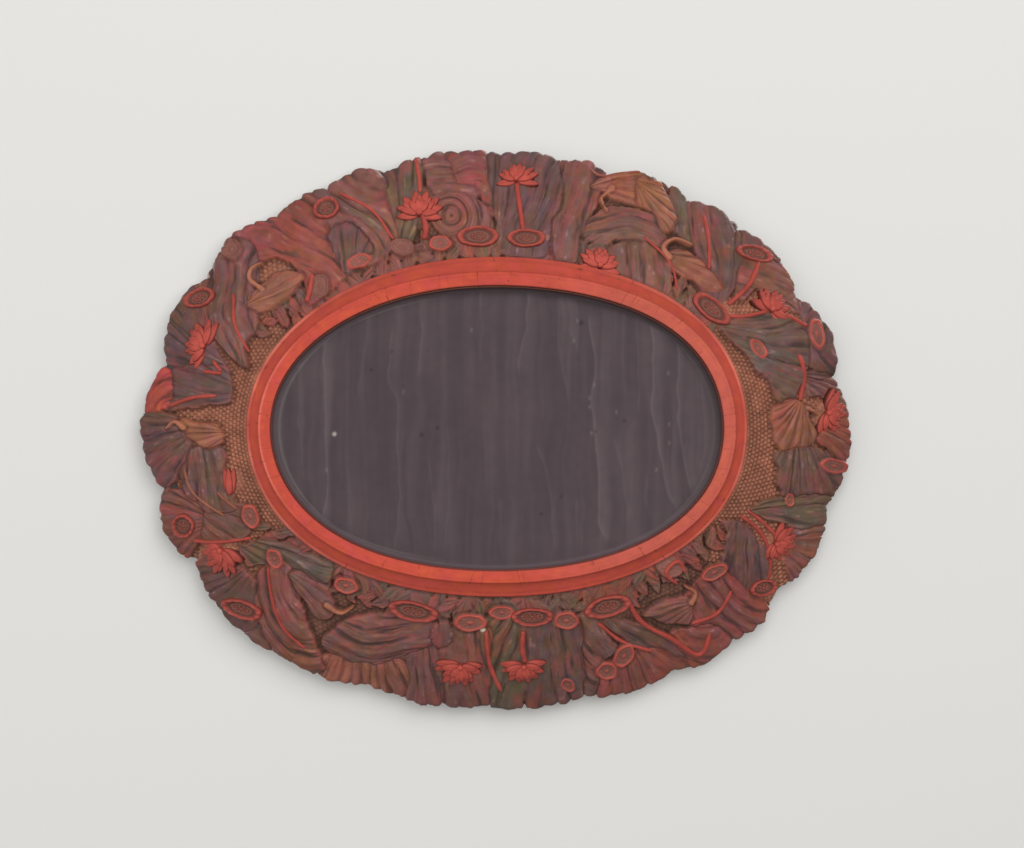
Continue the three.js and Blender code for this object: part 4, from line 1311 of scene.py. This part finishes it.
# Pearls on the bricks that the leaves leave bare at the two ends.
bare_ground = wall.bare.reshape(wall.shape) & (at_ends > 0.5)
pearls = []
for row in range(1, int(WALL_RISE / BRICK_HIGH) - 1):
    level = round((row + 0.5) * BRICK_HIGH / WALL_RISE * (WALL_ROWS - 1))
    for brick in np.arange(round(bricks[-1])) - 0.5 * (row % 2) + 0.5:
        column = int(np.interp(brick % bricks[-1], bricks, np.arange(WALL_COLUMNS)))
        if bare_ground[column, level]:
            pearls.append(carved[column, level] - 0.08 * normal[column, level])
rubbed = np.random.RandomState(12).uniform(-0.1, 0.8, len(pearls))[:, None]
grow_pearls("diaper_pearls", pearls, PEARL_SIZE, mix(LACQUERS["ochre"][2], RUBBED, rubbed), 6, "leaf_lacquer")


# The foot: a red coat over its tread, its hollow outer side and the bead along its root.

def ring_faces(columns, rows):
    """Faces of a closed ring whose section has a number of points."""
    return [(c * rows + k, c * rows + (k + 1) % rows, (c + 1) % columns * rows + (k + 1) % rows,
             (c + 1) % columns * rows + k) for c in range(columns) for k in range(rows)]


# The foot is a little uneven. Its splayed side is wider at the top and at the bottom of the photograph, and
# its tread is wider at the top.
TOP_SIDE_WIDER, BOTTOM_SIDE_WIDER, TOP_TREAD_WIDER = 1.2, 0.6, 0.35


def foot_oval(degrees, inside, height):
    """Points on ovals that lie inside the foot's outer edge by some distances, columns by rows."""
    angle = np.radians(degrees)[:, None]
    above, below = np.clip(np.sin(angle), 0, 1), np.clip(-np.sin(angle), 0, 1)
    wider = TOP_SIDE_WIDER * above * np.clip((SPLAY - inside) / SPLAY, 0, 1)
    wider = wider - BOTTOM_SIDE_WIDER * below * np.clip(inside / SPLAY, 0, 1)
    wider = wider - TOP_TREAD_WIDER * above * np.clip((inside - SPLAY) / TREAD, 0, 1)
    swell = 1 + fuller(degrees)[:, None]
    x = (FOOT_OVAL[0] - inside) * np.cos(angle) * swell
    y = -(FOOT_OVAL[1] + wider - inside) * np.sin(angle) * swell
    return np.stack([x, y, height], axis=2)


FOOT_COLUMNS = 1500
# How many fine cracks the coat has, where a speck of it is bare, and how rounded the tread's edges are.
CRACKS = 34
BARE_SPECK = (586, 577.5)
ARRIS = 0.45
# Section of the foot: how far inside its outer edge each point lies, and its height.
treads = [(SPLAY + TREAD, FOOT_TOP - 0.3), (SPLAY + TREAD, 2.6), (SPLAY + TREAD, ARRIS + 0.2)]
treads += [(SPLAY + TREAD - ARRIS * (1 - math.cos(u)), ARRIS * (1 - math.sin(u))) for u in (0.3, 0.75, 1.2)]
treads += [(SPLAY + mix(TREAD - ARRIS, ARRIS, k / 11), 0) for k in range(12)]
treads += [(SPLAY + ARRIS * (1 - math.sin(u)), ARRIS * (1 - math.cos(u))) for u in (0.4, 0.9, 1.4)]
hollow_side = [
    (mix(SPLAY, BEAD / 2, k ** 1.5), mix(ARRIS, FOOT_TOP - BEAD, k)) for k in np.linspace(0.08, 1, 10)]
bead = [
    (BEAD / 2 * (1 - math.sin(u)), FOOT_TOP - BEAD / 2 - BEAD / 2 * math.cos(u))
    for u in (0.5, 1, 1.5, 2.1, 2.7)]
# Points behind the coat, which close its section.
unseen = [(2.2, FOOT_TOP), (4.7, 1.1), (7.4, 1.1), (7.4, FOOT_TOP - 0.3)]
section = np.array(treads + hollow_side + bead + unseen)
around = np.arange(FOOT_COLUMNS) * 360 / FOOT_COLUMNS
inside = np.broadcast_to(section[:, 0], (FOOT_COLUMNS, len(section)))
level = np.broadcast_to(section[:, 1], inside.shape)
smooth_foot = foot_oval(around, inside, level)
far_round = np.broadcast_to(np.radians(around)[:, None] * FOOT_RADIUS, inside.shape)
wavy = 0.07 * cloud(far_round, inside, 6, 31) + 0.03 * cloud(far_round, inside * 2, 1.3, 32)
groove = np.exp(-((inside - SPLAY - 0.95) / 0.14) ** 2) * (level < 0.05)
nicks = ease((cloud(far_round, inside * 0.8, 0.9, 33) - 0.78) / 0.1)
nicks = nicks * ease(0.5 + cloud(far_round, inside, 11, 34))
chance = np.random.RandomState(12)
cracks = np.zeros(inside.shape)
for place in chance.uniform(0, 360, CRACKS):
    lean, reach = chance.uniform(-0.25, 0.25), chance.uniform(0.4, 1)
    gap = (np.radians(around)[:, None] - math.radians(place)) * FOOT_RADIUS - lean * (inside - 6)
    across_tread = ease((inside - SPLAY + reach) / 0.5) * (inside < SPLAY + TREAD + 0.1)
    cracks += reach * np.exp(-(gap / 0.12) ** 2) * across_tread
cracks = np.clip(cracks, 0, 1)
sunk = 0.1 * groove + 0.16 * nicks + 0.1 * cracks
seen_rows = (np.arange(len(section)) < len(section) - len(unseen))[None, :]
coat = smooth_foot + np.stack([0 * level, 0 * level, (sunk + np.abs(wavy) * 0.5) * seen_rows], axis=2)
coat = coat + grid_normals(smooth_foot) * (wavy * 0.5 * seen_rows)[:, :, None]
coat[:, :, 2] = np.clip(coat[:, :, 2], 0, FOOT_TOP)
on_tread = ease((inside - SPLAY + 0.2) / 0.6)
foot_colour = mix(tone(203, 82, 66), tone(196, 77, 61), on_tread[:, :, None])
# The coat is stained in patches, and the slope carries painted shade at the far side and next to the bead at
# the left.
stain = cloud(far_round, inside * 2, 4.5, 37) + 0.5 * cloud(far_round, inside * 3, 1.7, 38)
foot_colour = mix(foot_colour, tone(206, 88, 56), (0.6 * ease(stain - 0.1))[:, :, None])
foot_colour = mix(foot_colour, tone(198, 76, 76), (0.6 * ease(-stain - 0.1))[:, :, None])
away_side, left_side = np.sin(np.radians(around))[:, None], -np.cos(np.radians(around))[:, None]
by_bead = ease((SPLAY - inside) / SPLAY)
dull = 0.17 * ease(1.5 * away_side) + 0.14 * ease(1.6 * left_side) * by_bead + 0.03 * ease(-1.5 * left_side)
foot_colour = foot_colour * (1 - dull * (1 - on_tread))[:, :, None]
# Painted highlights show a brighter red along the tread's outer edge at the left and on the bead at both
# ends.
highlight_red = tone(238, 130, 110)
edge_highlight = 0.75 * ease((left_side - 0.8) / 0.15) * (0.8 + 0.4 * cloud(far_round, 0 * inside, 14, 39))
edge_highlight = edge_highlight * np.exp(-((inside - SPLAY - 0.45) / 0.4) ** 2)
foot_colour = mix(foot_colour, highlight_red, edge_highlight[:, :, None])
on_bead = (level > FOOT_TOP - BEAD - 0.15) * (level < FOOT_TOP - 0.4)
bead_highlight = 0.6 * ease(1.5 * np.abs(left_side) - 0.45) * (0.8 + 0.5 * cloud(far_round, 0 * inside, 8, 40))
foot_colour = mix(foot_colour, highlight_red, np.clip(on_bead * bead_highlight, 0, 1)[:, :, None])
# The tread has a painted sheen at the right, its inner side has painted shade, and a speck is rubbed bare.
foot_colour = mix(foot_colour, tone(188, 112, 96), (0.35 * on_tread * ease(-1.5 * left_side))[:, :, None])
foot_colour = mix(foot_colour, tone(110, 52, 46), ease((inside - SPLAY - TREAD + 0.55) / 0.5)[:, :, None])
plan_x, plan_y = (coat[:, :, i] / PLAN_UNIT + PLAN_MIDDLE[i] for i in (0, 1))
speck = 1.5 * np.exp(-((plan_x - BARE_SPECK[0]) / 1.6) ** 2 - ((plan_y - BARE_SPECK[1]) / 1.3) ** 2)
foot_colour = mix(foot_colour, tone(230, 190, 170), np.clip(speck * on_tread, 0, 1)[:, :, None])
patches = 1 + 0.06 * cloud(far_round, inside, 9, 35) + 0.05 * cloud(far_round, inside * 3, 2.5, 36)
foot_colour = foot_colour * patches[:, :, None]
# Dirt lies in the nicks, cracks and groove, and painted shade along the root of the bead.
foot_dirt_and_shade = np.clip(0.55 * nicks + 0.5 * cracks + 0.2 * groove, 0, 1)
foot_dirt_and_shade = foot_dirt_and_shade + 0.3 * np.exp(-((level - FOOT_TOP + BEAD + 0.2) / 0.25) ** 2)
add_piece("foot_coat", coat.reshape(-1, 3), ring_faces(FOOT_COLUMNS, len(section)), "foot_red",
          foot_colour.reshape(-1, 3), np.clip(foot_dirt_and_shade, 0, 1).ravel(), None, ("foot_lacquer",))
# The hoop of wood inside the coat, whose section is given like the foot's.
HOOP_COLUMNS = 300
HOOP_SECTION = np.array([(2.5, FOOT_TOP - 0.05), (4.8, 1.25), (7.25, 1.25), (7.25, FOOT_TOP - 0.3)])
hoop_inside, hoop_level = (np.broadcast_to(HOOP_SECTION[:, i], (HOOP_COLUMNS, 4)) for i in (0, 1))
hoop = foot_oval(np.arange(HOOP_COLUMNS) * 360 / HOOP_COLUMNS, hoop_inside, hoop_level)
add_piece("foot_core", hoop.reshape(-1, 3), ring_faces(HOOP_COLUMNS, 4), "core_wood", replaces=("foot_hoop",))


# The base: plain brown lacquer over planks, whose grain shows through it as long ridges.

BASE_ACROSS = 430
BASE_ALONG = 170
BASE_INSIDE = SPLAY + TREAD + 0.06
FILLET = 1.6
BASE_OVAL = (FOOT_OVAL[0], FOOT_OVAL[1] - 0.5)
fillet_inside = BASE_INSIDE + 0.3
flat_oval = (BASE_OVAL[0] - fillet_inside - FILLET, BASE_OVAL[1] - fillet_inside - FILLET)
# Ridges of the grain on the plan, from one side of the base to the other, with their strength.
GRAIN = [
    ([(322, 340), (324, 420), (326, 468), (325, 500), (321, 522)], 0.9),
    ([(419, 290), (420, 330), (418, 376)], 0.6), ([(526, 290), (526, 320), (520, 345), (517, 372)], 0.7),
    ([(556, 296), (558, 345), (566, 398)], 0.5),
    ([(588, 318), (594, 360), (591, 400), (594, 440), (597, 480), (597, 520), (604, 540)], 1.1),
    ([(570, 330), (576, 352)], 0.6), ([(634, 298), (636, 335), (638, 410)], 0.5),
    ([(650, 325), (653, 370), (651, 405), (656, 440), (664, 480), (674, 508)], 1.0),
    ([(677, 340), (676, 380), (678, 415), (681, 450), (690, 490)], 0.9),
    ([(392, 330), (387, 380), (395, 402), (396, 440), (398, 500), (395, 545)], 0.6),
    ([(366, 310), (364, 350), (356, 396)], 0.4), ([(446, 430), (448, 480), (444, 545)], 0.35),
    ([(428, 462), (432, 505), (434, 552)], 0.5), ([(537, 446), (548, 492), (552, 548)], 0.6),
    ([(478, 288), (480, 330), (478, 360)], 0.35), ([(612, 440), (622, 478), (626, 520)], 0.5),
    ([(575, 500), (576, 545)], 0.4), ([(644, 480), (648, 520)], 0.4),
    ([(300, 360), (298, 420), (302, 480)], 0.4), ([(345, 470), (350, 530)], 0.3),
    ([(498, 500), (500, 560)], 0.3), ([(700, 370), (704, 430), (700, 470)], 0.4),
]
# A chip in the lacquer, pits with their size, and specks where it is rubbed.
CHIP = (333, 434)
PITS = [
    ((333, 434), 1.7), ((420, 435), 2.2), ((436, 428), 1.8), ((580, 323), 2.2), ((483, 640), 1),
    ((560, 497), 1.4), ((540, 514), 1.6), ((390, 352), 1.5), ((370, 370), 1.4), ((623, 421), 1.6),
    ((594, 432), 1.4),
]
SPECKS = [
    (588, 398), (588, 407), (593, 385), (615, 412), (668, 443), (668, 424), (576, 321), (572, 341),
    (590, 433), (667, 373), (402, 392), (470, 330), (655, 470), (325, 470),
]
s_across, s_along, base_x, base_y, _ = oval_grid(flat_oval, BASE_ACROSS, BASE_ALONG)
base_closer = 1 - (HEIGHT - RECESS_DEPTH) * MM / VIEW_DISTANCE
u, v = (PLAN_MIDDLE[i] + (base_x, base_y)[i] / PLAN_UNIT / base_closer for i in (0, 1))
bent = u + 5 * cloud(u, v, 46, 41) + 1.2 * cloud(u, v, 17, 42)
grain = 0.5 * cloud(bent, v / 16, 9, 43) + 0.3 * cloud(bent, v / 22, 3.4, 44)
grain = grain + 0.3 * cloud(bent, v / 9, 26, 45)
ridges = np.zeros(u.shape)
for line, strength in GRAIN:
    way = smooth_line(line, 6)
    beside = u + 1.6 * cloud(u, v, 15, 46) - np.interp(v, way[:, 1], way[:, 0])
    ends = ease((v - way[0, 1] + 8) / 16) * ease((way[-1, 1] + 8 - v) / 16)
    steep, gentle = np.exp(-(beside / 1.1) ** 2), np.exp(-np.abs(beside) / 9)
    ridges += strength * ends * np.where(beside < 0, steep, 0.35 * steep + 0.65 * gentle)
pits = np.zeros(u.shape)
for place, size in PITS:
    pits += np.exp(-((u - place[0]) ** 2 + (v - place[1]) ** 2) / size ** 2)
grain_relief = 0.06 * grain + 0.24 * ridges - 0.14 * np.clip(pits, 0, 1)
from_edge = 1 - np.maximum(np.abs(s_across), np.abs(s_along))
base_top = np.stack([base_x, base_y, RECESS_DEPTH - grain_relief * ease(from_edge / 0.04)], axis=2)
brown = tone(80, 68, 72)
# The grain's ridges are painted lighter as a painted highlight, and its low parts darker as painted shade.
share = np.clip(0.5 * ridges + 0.3 * grain, -0.5, 0.9)[:, :, None]
base_colour = mix(brown, tone(111, 98, 102), np.clip(share, 0, 1)) * (1 + 0.25 * np.clip(share, -1, 0))
base_colour = base_colour * (1 + 0.05 * cloud(u, v, 34, 47))[:, :, None]
# A painted reflection of the room lies along the edge at the left and the right, and painted shade from the
# foot at the upper right.
edge_gap = from_edge * flat_oval[1]
mirrored = np.maximum(0.65 * ease(-1.4 * s_across - 0.2), 0.4 * ease(3 * s_across - 2.1))
mirrored = np.exp(-((edge_gap - 0.45) / 0.4) ** 2) * mirrored
base_colour = mix(base_colour, tone(112, 104, 104), mirrored[:, :, None])
shade = 0.25 * np.exp(-(edge_gap / 1.3) ** 2) * ease(0.7 * (s_across - s_along) + 0.1)
base_colour = base_colour * (1 - shade)[:, :, None]
# A chip shows the ground coat, and rubbed specks lie along the grain.
chip = 1.4 * np.exp(-((u - CHIP[0]) ** 2 + (v - CHIP[1]) ** 2) / 2.2)
for place in SPECKS:
    chip += 0.09 * np.exp(-((u - place[0]) / 1.2) ** 2 - ((v - place[1]) / 1.9) ** 2)
base_colour = mix(base_colour, tone(226, 216, 208), np.clip(chip, 0, 1)[:, :, None])
turns = np.linspace(0.25, 1, 6) * math.pi / 2
fillet = [
    (fillet_inside + FILLET * (1 - math.sin(u)), RECESS_DEPTH - FILLET * (1 - math.cos(u))) for u in turns]
fillet += [(fillet_inside, 2.0), (BASE_INSIDE + 0.22, 0.95), (BASE_INSIDE + 0.1, 0.8), (BASE_INSIDE, 0.9),
           (BASE_INSIDE, 3.5), (BASE_INSIDE, FOOT_TOP)]
# The fillet is painted lighter than the base to lift the recess's shadow, with painted shade towards the
# upper right, and it reddens towards the foot.
bearing = bearing_of(base_top, flat_oval)[:, None]
shaded = 1 - 0.35 * ease(0.7 * (np.cos(bearing) - np.sin(bearing)) + 0.1)
edge_red = tone(112, 64, 58)
fillet_tones = [
    mix(brown * 1.3 * shaded, edge_red * 1.15, ease((number - 3) / 3)) for number in range(len(fillet))]
# Dirt and painted shade gather in the low grain and the pits.
base_dirt_and_shade = 0.12 * np.clip(-grain, 0, 1) + 0.5 * np.clip(pits, 0, 1)
add_disc("base_coat", base_top, base_colour, base_dirt_and_shade, fillet, fillet_tones, [0.0] * len(fillet), BASE_OVAL,
         "brown_lacquer", ("base_lacquer",))


# The inside, which the photograph doesn't show: leaves as on the outside, round a floor with a lotus pond.

def plan_place(degrees, share):
    """Plan place of a point of the plain wall at an angle and a share of the way up."""
    long, wide = (mix(FOOT_OVAL[i], RIM_OVAL[i], share) / PLAN_UNIT for i in (0, 1))
    return (PLAN_MIDDLE[0] + long * math.cos(math.radians(degrees)),
            PLAN_MIDDLE[1] - wide * math.sin(math.radians(degrees)))


def heading_out(degrees):
    """Heading on the plan, in degrees, from the middle of the dish outwards."""
    inner, outer = plan_place(degrees, 0), plan_place(degrees, 1)
    return math.degrees(math.atan2(outer[1] - inner[1], outer[0] - inner[0]))


INSIDE_COLUMNS = 1500
INSIDE_ROWS = 96
LINING_CUTS = [20, 100, 175, 250, 325]
LINING_GROUND = -0.7
LINING_BRICK_ROWS = 24
round_inside = np.arange(INSIDE_COLUMNS) * 360 / INSIDE_COLUMNS
inside_t = np.linspace(0, LIP_SHARE, INSIDE_ROWS)
inside_base = surface(round_inside, inside_t, np.minimum(inner_face(inside_t), LIP_HEIGHT), 0 * inside_t)
inside_normal = grid_normals(inside_base)
if inside_normal[0, 10, 2] < 0:
    inside_normal = -inside_normal
inside_u = PLAN_MIDDLE[0] + inside_base[:, :, 0] / PLAN_UNIT
inside_v = PLAN_MIDDLE[1] + inside_base[:, :, 1] / PLAN_UNIT
lining = Carving(inside_u, inside_v)
lining.scales(np.broadcast_to(bricks_before(round_inside)[:, None], inside_u.shape),
              np.broadcast_to((inside_t * LINING_BRICK_ROWS)[None, :], inside_u.shape), LINING_GROUND)
# Leaves stand round the inside, each drawn by shares of its half width and of the way up the wall.
starts = [row[0] for row in LEAVES]
for number, (start, stop) in enumerate(zip(starts, starts[1:] + [starts[0] + 360])):
    middle, wide = (start + stop) / 2, (stop - start) / 2
    top = 0.9 if number % 2 else 0.86
    edge = [(-0.35, 0.14), (-0.62, 0.4), (-0.95, 0.68), (-0.8, top), (-0.3, top + 0.04), (0.25, top + 0.02),
            (0.8, top), (0.98, 0.66), (0.7, 0.38), (0.4, 0.13), (0, 0.06)]
    outline = [plan_place(middle + a * wide * 1.12, share) for a, share in edge]
    hub = plan_place(middle + 2 * (number % 3 - 1), -0.12)
    lacquer = ("umber", "moss", "russet", "plum")[(number * 3) % 4]
    rise = 0.9 + 0.3 * (number % 2)
    lining.leaf(outline, hub, 58 + 14 * (number % 3), lacquer, rise, 0.45, frill=1.0, seed=200 + number)
for number in range(0, len(starts), 2):
    place = plan_place(starts[number], 0.26 if number % 4 else 0.66)
    lining.rosette(place, 34, 26, heading_out(starts[number]), "scarlet", rise=1.5)
INSIDE_BLOSSOMS = [
    (plan_place(starts[n], 0.3), 13 + n % 3, heading_out(starts[n])) for n in (1, 4, 7, 11, 14, 18, 21)]
INSIDE_PODS = [(plan_place(starts[n], 0.68), 11, 8, heading_out(starts[n])) for n in (3, 6, 9, 12, 16, 19)]
clear_seats(lining, INSIDE_BLOSSOMS + INSIDE_PODS, 0.55)

inside_fade = (ease(inside_t / 0.05) * ease((LIP_SHARE - inside_t) / 0.05))[None, :]
lined, lined_relief, lined_colour, lined_hollow = cut_surface(
    lining, inside_base, inside_normal, inside_fade, 5)
lined_colour = mix(LACQUERS["scarlet"][0], lined_colour, ease((inside_t - 0.012) / 0.012)[None, :, None])
inside_backs = list(range(0, INSIDE_ROWS, 19))
behind_t = inside_t[inside_backs]
lined_back = surface(round_inside, behind_t, inner_face(behind_t) - INNER_LACQUER, 0 * behind_t)
add_shell("carved_lining", round_inside, LINING_CUTS, lined, lined_back, inside_backs, lined_colour,
          lined_hollow, "inner_lacquer")
lining_bed = Bed(inside_u, inside_v, inside_base, inside_normal, lined_relief, INSIDE_ROWS)
for number, (place, width, heading) in enumerate(INSIDE_BLOSSOMS, 1):
    blossom(lining_bed, place, width, heading).finish(f"inside_blossom_{number}")
seeds.clear()
for number, (place, long, wide, turn) in enumerate(INSIDE_PODS, 1):
    seed_pod(lining_bed, place, long, wide, turn).finish(f"inside_pod_{number}")

# The floor: a pond with leaves, blossoms, pods and two herons on a ground of bricks, in a red border.
FLOOR_ACROSS = 380
FLOOR_ALONG = 236
POND_GROUND = -0.5
POND_BRICK = (7.4, 5.6)
*_, floor_x, floor_y, edge_share = oval_grid(FOOT_OVAL, FLOOR_ACROSS, FLOOR_ALONG)
floor_u, floor_v = PLAN_MIDDLE[0] + floor_x / PLAN_UNIT, PLAN_MIDDLE[1] + floor_y / PLAN_UNIT
pond = Carving(floor_u, floor_v)
pond.scales(floor_u / POND_BRICK[0], floor_v / POND_BRICK[1], POND_GROUND)


def round_leaf(middle, long, wide, turn, lacquer, seed, rise=0.9):
    """A whole lotus leaf seen from above, with a waved margin and veins from its middle."""
    c, s = math.cos(math.radians(turn)), math.sin(math.radians(turn))
    outline = []
    for k in range(18):
        a = 2 * math.pi * k / 18
        r = 1 + 0.07 * math.sin(3 * a + seed) + 0.06 * (-1) ** k
        outline.append((middle[0] + r * long * math.cos(a) * c - r * wide * math.sin(a) * s,
                        middle[1] + r * long * math.cos(a) * s + r * wide * math.sin(a) * c))
    hub = (middle[0] + 0.1 * long, middle[1] + 0.1 * wide)
    pond.leaf(outline, hub, 25, lacquer, rise, 0.6, frill=1.5, seed=seed)


round_leaf((420, 420), 84, 56, 12, "moss", 301)
round_leaf((588, 448), 72, 50, -18, "umber", 302, 1.2)
round_leaf((516, 356), 56, 30, 4, "russet", 303)
round_leaf((650, 380), 40, 26, 20, "moss", 304, 0.7)
round_leaf((338, 470), 36, 26, -30, "umber", 305, 0.7)
folded_leaf = [(470, 500), (505, 480), (545, 492), (560, 520), (530, 545), (492, 540)]
pond.leaf(folded_leaf, (515, 460), 60, "umber", 1.2, 0.6, seed=306)
POND_STEMS = [
    [(446, 316), (428, 350), (424, 385), (420, 420)], [(560, 316), (584, 362), (592, 410), (588, 448)],
    [(500, 316), (520, 330), (516, 356)], [(372, 316), (356, 370), (368, 440), (386, 506)],
    [(640, 316), (676, 360), (668, 420), (653, 478)], [(470, 316), (478, 380), (504, 400), (512, 420)],
    [(536, 316), (548, 372), (520, 440), (510, 490)],
]
for line in POND_STEMS:
    pond.ribbon(line, 3, "umber", rise=1.2, taper=0.9)
# Ripples under the stems.
for number in range(9):
    x, y = 330 + 40 * number, 8 * (number % 3)
    pond.ribbon([(x, 306 + y), (x + 18, 312 + y), (x + 36, 304 + y)], 3, "plum", rise=0.3)


def to_side(side, places):
    """Places so far to the right of the dish's middle, or to its left where side is -1."""
    return [(PLAN_MIDDLE[0] + side * x, y) for x, y in places]


for side, seed in ((1, 311), (-1, 312)):
    body = to_side(side, [(150, 372), (172, 350), (200, 352), (214, 372), (206, 392), (180, 398), (158, 392)])
    tail = to_side(side, [(222, 366)])[0]
    pond.leaf(body, tail, 66, "ochre", 1.5, 0.35, roll=0.1, frill=0.3, seed=seed)
    neck = to_side(side, [(158, 384), (140, 396), (146, 420), (132, 436)])
    pond.ribbon(neck, 7, "ochre", rise=1.5, taper=0.5)
    beak = to_side(side, [(133, 436), (120, 440), (108, 436)])
    pond.ribbon(beak, 3, "russet", rise=1.5, taper=0.3)
    for hip in (176, 184):
        leg = to_side(side, [(hip, 352), (hip - 2, 334), (hip + 3, 316)])
        pond.ribbon(leg, 2.4, "russet", rise=1.0)
POND_BLOSSOMS = [((386, 512), 21, 90), ((652, 484), 20, 80), ((512, 424), 24, 95)]
POND_PODS = [((470, 492), 15, 9, 10), ((600, 512), 13, 8, -15)]
clear_seats(pond, POND_BLOSSOMS, 0.55)
# The border, with its distances from the floor's edge in millimetres: a raised line at its inner side, a
# lower one at its outer side, and a row of notched keys between them.
BORDER, INNER_LINE, OUTER_LINE, KEYS = 4.9, 4.6, 1.2, (1.7, 4.0)
KEY_WAVES = 84
from_edge = (1 - edge_share.ravel()) * FLOOR_RADIUS
pond.relief = np.where(from_edge < INNER_LINE, 0, pond.relief)
pond.relief = mix(pond.relief, 0.9, np.exp(-((from_edge - INNER_LINE) / 0.7) ** 2))
pond.relief = pond.relief + 0.35 * np.exp(-((from_edge - OUTER_LINE) / 0.6) ** 2)
keys = np.abs(np.sin(np.arctan2(floor_y / FOOT_OVAL[1], floor_x / FOOT_OVAL[0]).ravel() * KEY_WAVES))
band = (from_edge < KEYS[1]) * (from_edge > KEYS[0])
pond.relief = pond.relief + 0.3 * band * ease((keys - 0.3) / 0.4)
border_red = mix(LACQUERS["scarlet"][2], LACQUERS["scarlet"][0], ease(pond.relief * 1.6)[:, None])
pond.colour = mix(border_red, pond.colour, ease((from_edge - BORDER) / 0.5)[:, None])
flat_base = np.stack([floor_x, floor_y, np.full(floor_x.shape, FLOOR)], axis=2)
upward = np.broadcast_to(np.array([0.0, 0.0, 1.0]), flat_base.shape)
floor_fade = ease((1 - edge_share) * 90)
floor_front, floor_relief, floor_colour, floor_hollow = cut_surface(pond, flat_base, upward, floor_fade, 3)
add_disc("carved_floor", floor_front, floor_colour, floor_hollow, [(0, FLOOR - INNER_LACQUER)], None, None,
         FOOT_OVAL, "leaf_lacquer", ("inner_lacquer",))
pond_bed = Bed(floor_u, floor_v, flat_base, upward, floor_relief, FLOOR_ALONG + 1)
for number, (place, width, heading) in enumerate(POND_BLOSSOMS, 1):
    blossom(pond_bed, place, width, heading).finish(f"pond_blossom_{number}")
for number, (place, long, wide, turn) in enumerate(POND_PODS, 1):
    seed_pod(pond_bed, place, long, wide, turn).finish(f"pond_pod_{number}")
grow_pearls("inside_seeds", seeds, SEED_SIZE, LACQUERS["russet"][0])


# Stage, light and camera.

# The underside is lit through the table, so its red is kept from being thrown up on to the table.
UNDERSIDE = (
    "carved_wall", "foot_coat", "base_coat", "blossom_", "pod_", "stems", "pale_stems", "diaper_pearls")
for piece in bpy.context.scene.objects:
    if piece.name.startswith(UNDERSIDE):
        piece.visible_diffuse = False


def one_sided(name, colour):
    """A matt surface that is seen from its front only."""
    material = bpy.data.materials.new(name)
    material.use_nodes = True
    tree = material.node_tree
    tree.nodes.clear()
    behind = node(tree, "ShaderNodeNewGeometry")["Backfacing"]
    matt = node(tree, "ShaderNodeBsdfDiffuse", {"Color": colour})["BSDF"]
    clear = node(tree, "ShaderNodeBsdfTransparent")["BSDF"]
    either = node(tree, "ShaderNodeMixShader", {"Fac": behind, 1: matt, 2: clear})["Shader"]
    node(tree, "ShaderNodeOutputMaterial", {"Surface": either})
    return material


STAGE_REACH = 3.0


def stage_plane(name, height, faces_up):
    """A wide pale plane that only the camera sees, from one side."""
    corners = [(x * STAGE_REACH, y * STAGE_REACH, height) for x, y in ((-1, -1), (1, -1), (1, 1), (-1, 1))]
    mesh = bpy.data.meshes.new(name)
    mesh.from_pydata(corners, [], [(0, 1, 2, 3) if faces_up else (3, 2, 1, 0)])
    mesh.materials.append(one_sided(name, srgb(*ROOM)))
    plane = set_out(name, mesh)
    plane.visible_diffuse = False
    plane.visible_glossy = False
    plane.visible_transmission = False
    plane.visible_shadow = False


stage_plane("table", low.z, True)
stage_plane("sheet", high.z, False)


def lamp(name, place, size, power, mirrored=True):
    """A square soft light that points at the dish. One that is not mirrored gives no highlights."""
    data = bpy.data.lights.new(name, "AREA")
    data.size = size
    data.energy = power
    light = set_out(name, data)
    light.visible_glossy = mirrored
    light.location = place
    light.rotation_euler = (-Vector(place)).to_track_quat("-Z", "Y").to_euler()


lamp("key_below", (0.36, -0.55, -1.1), 1.2, 11.8, False)
lamp("fill_below", (-0.7, -0.1, -1.05), 1.5, 7.8, False)
lamp("key_above", (0.8, -0.7, 1.1), 1.3, 14)
lamp("fill_above", (-0.7, 0.3, 1.2), 1.2, 7)

world = bpy.data.worlds.new("pale_room")
bpy.context.scene.world = world
world.use_nodes = True
room = world.node_tree.nodes["Background"].inputs
room["Color"].default_value = srgb(*ROOM)
room["Strength"].default_value = 0.35

camera_data = bpy.data.cameras.new("camera")
camera_data.sensor_width = SENSOR
camera_data.lens = SENSOR * VIEW_DISTANCE / VIEW_WIDTH
camera_data.clip_start = 0.01
camera = set_out("camera", camera_data)
camera.location = (VIEW_MIDDLE[0] - VIEW_ASIDE, VIEW_MIDDLE[1], high.z - VIEW_DISTANCE)
camera.rotation_euler = (math.pi, math.atan2(VIEW_ASIDE, VIEW_DISTANCE), 0)
bpy.context.scene.camera = camera
bpy.context.scene.view_settings.view_transform = "Standard"
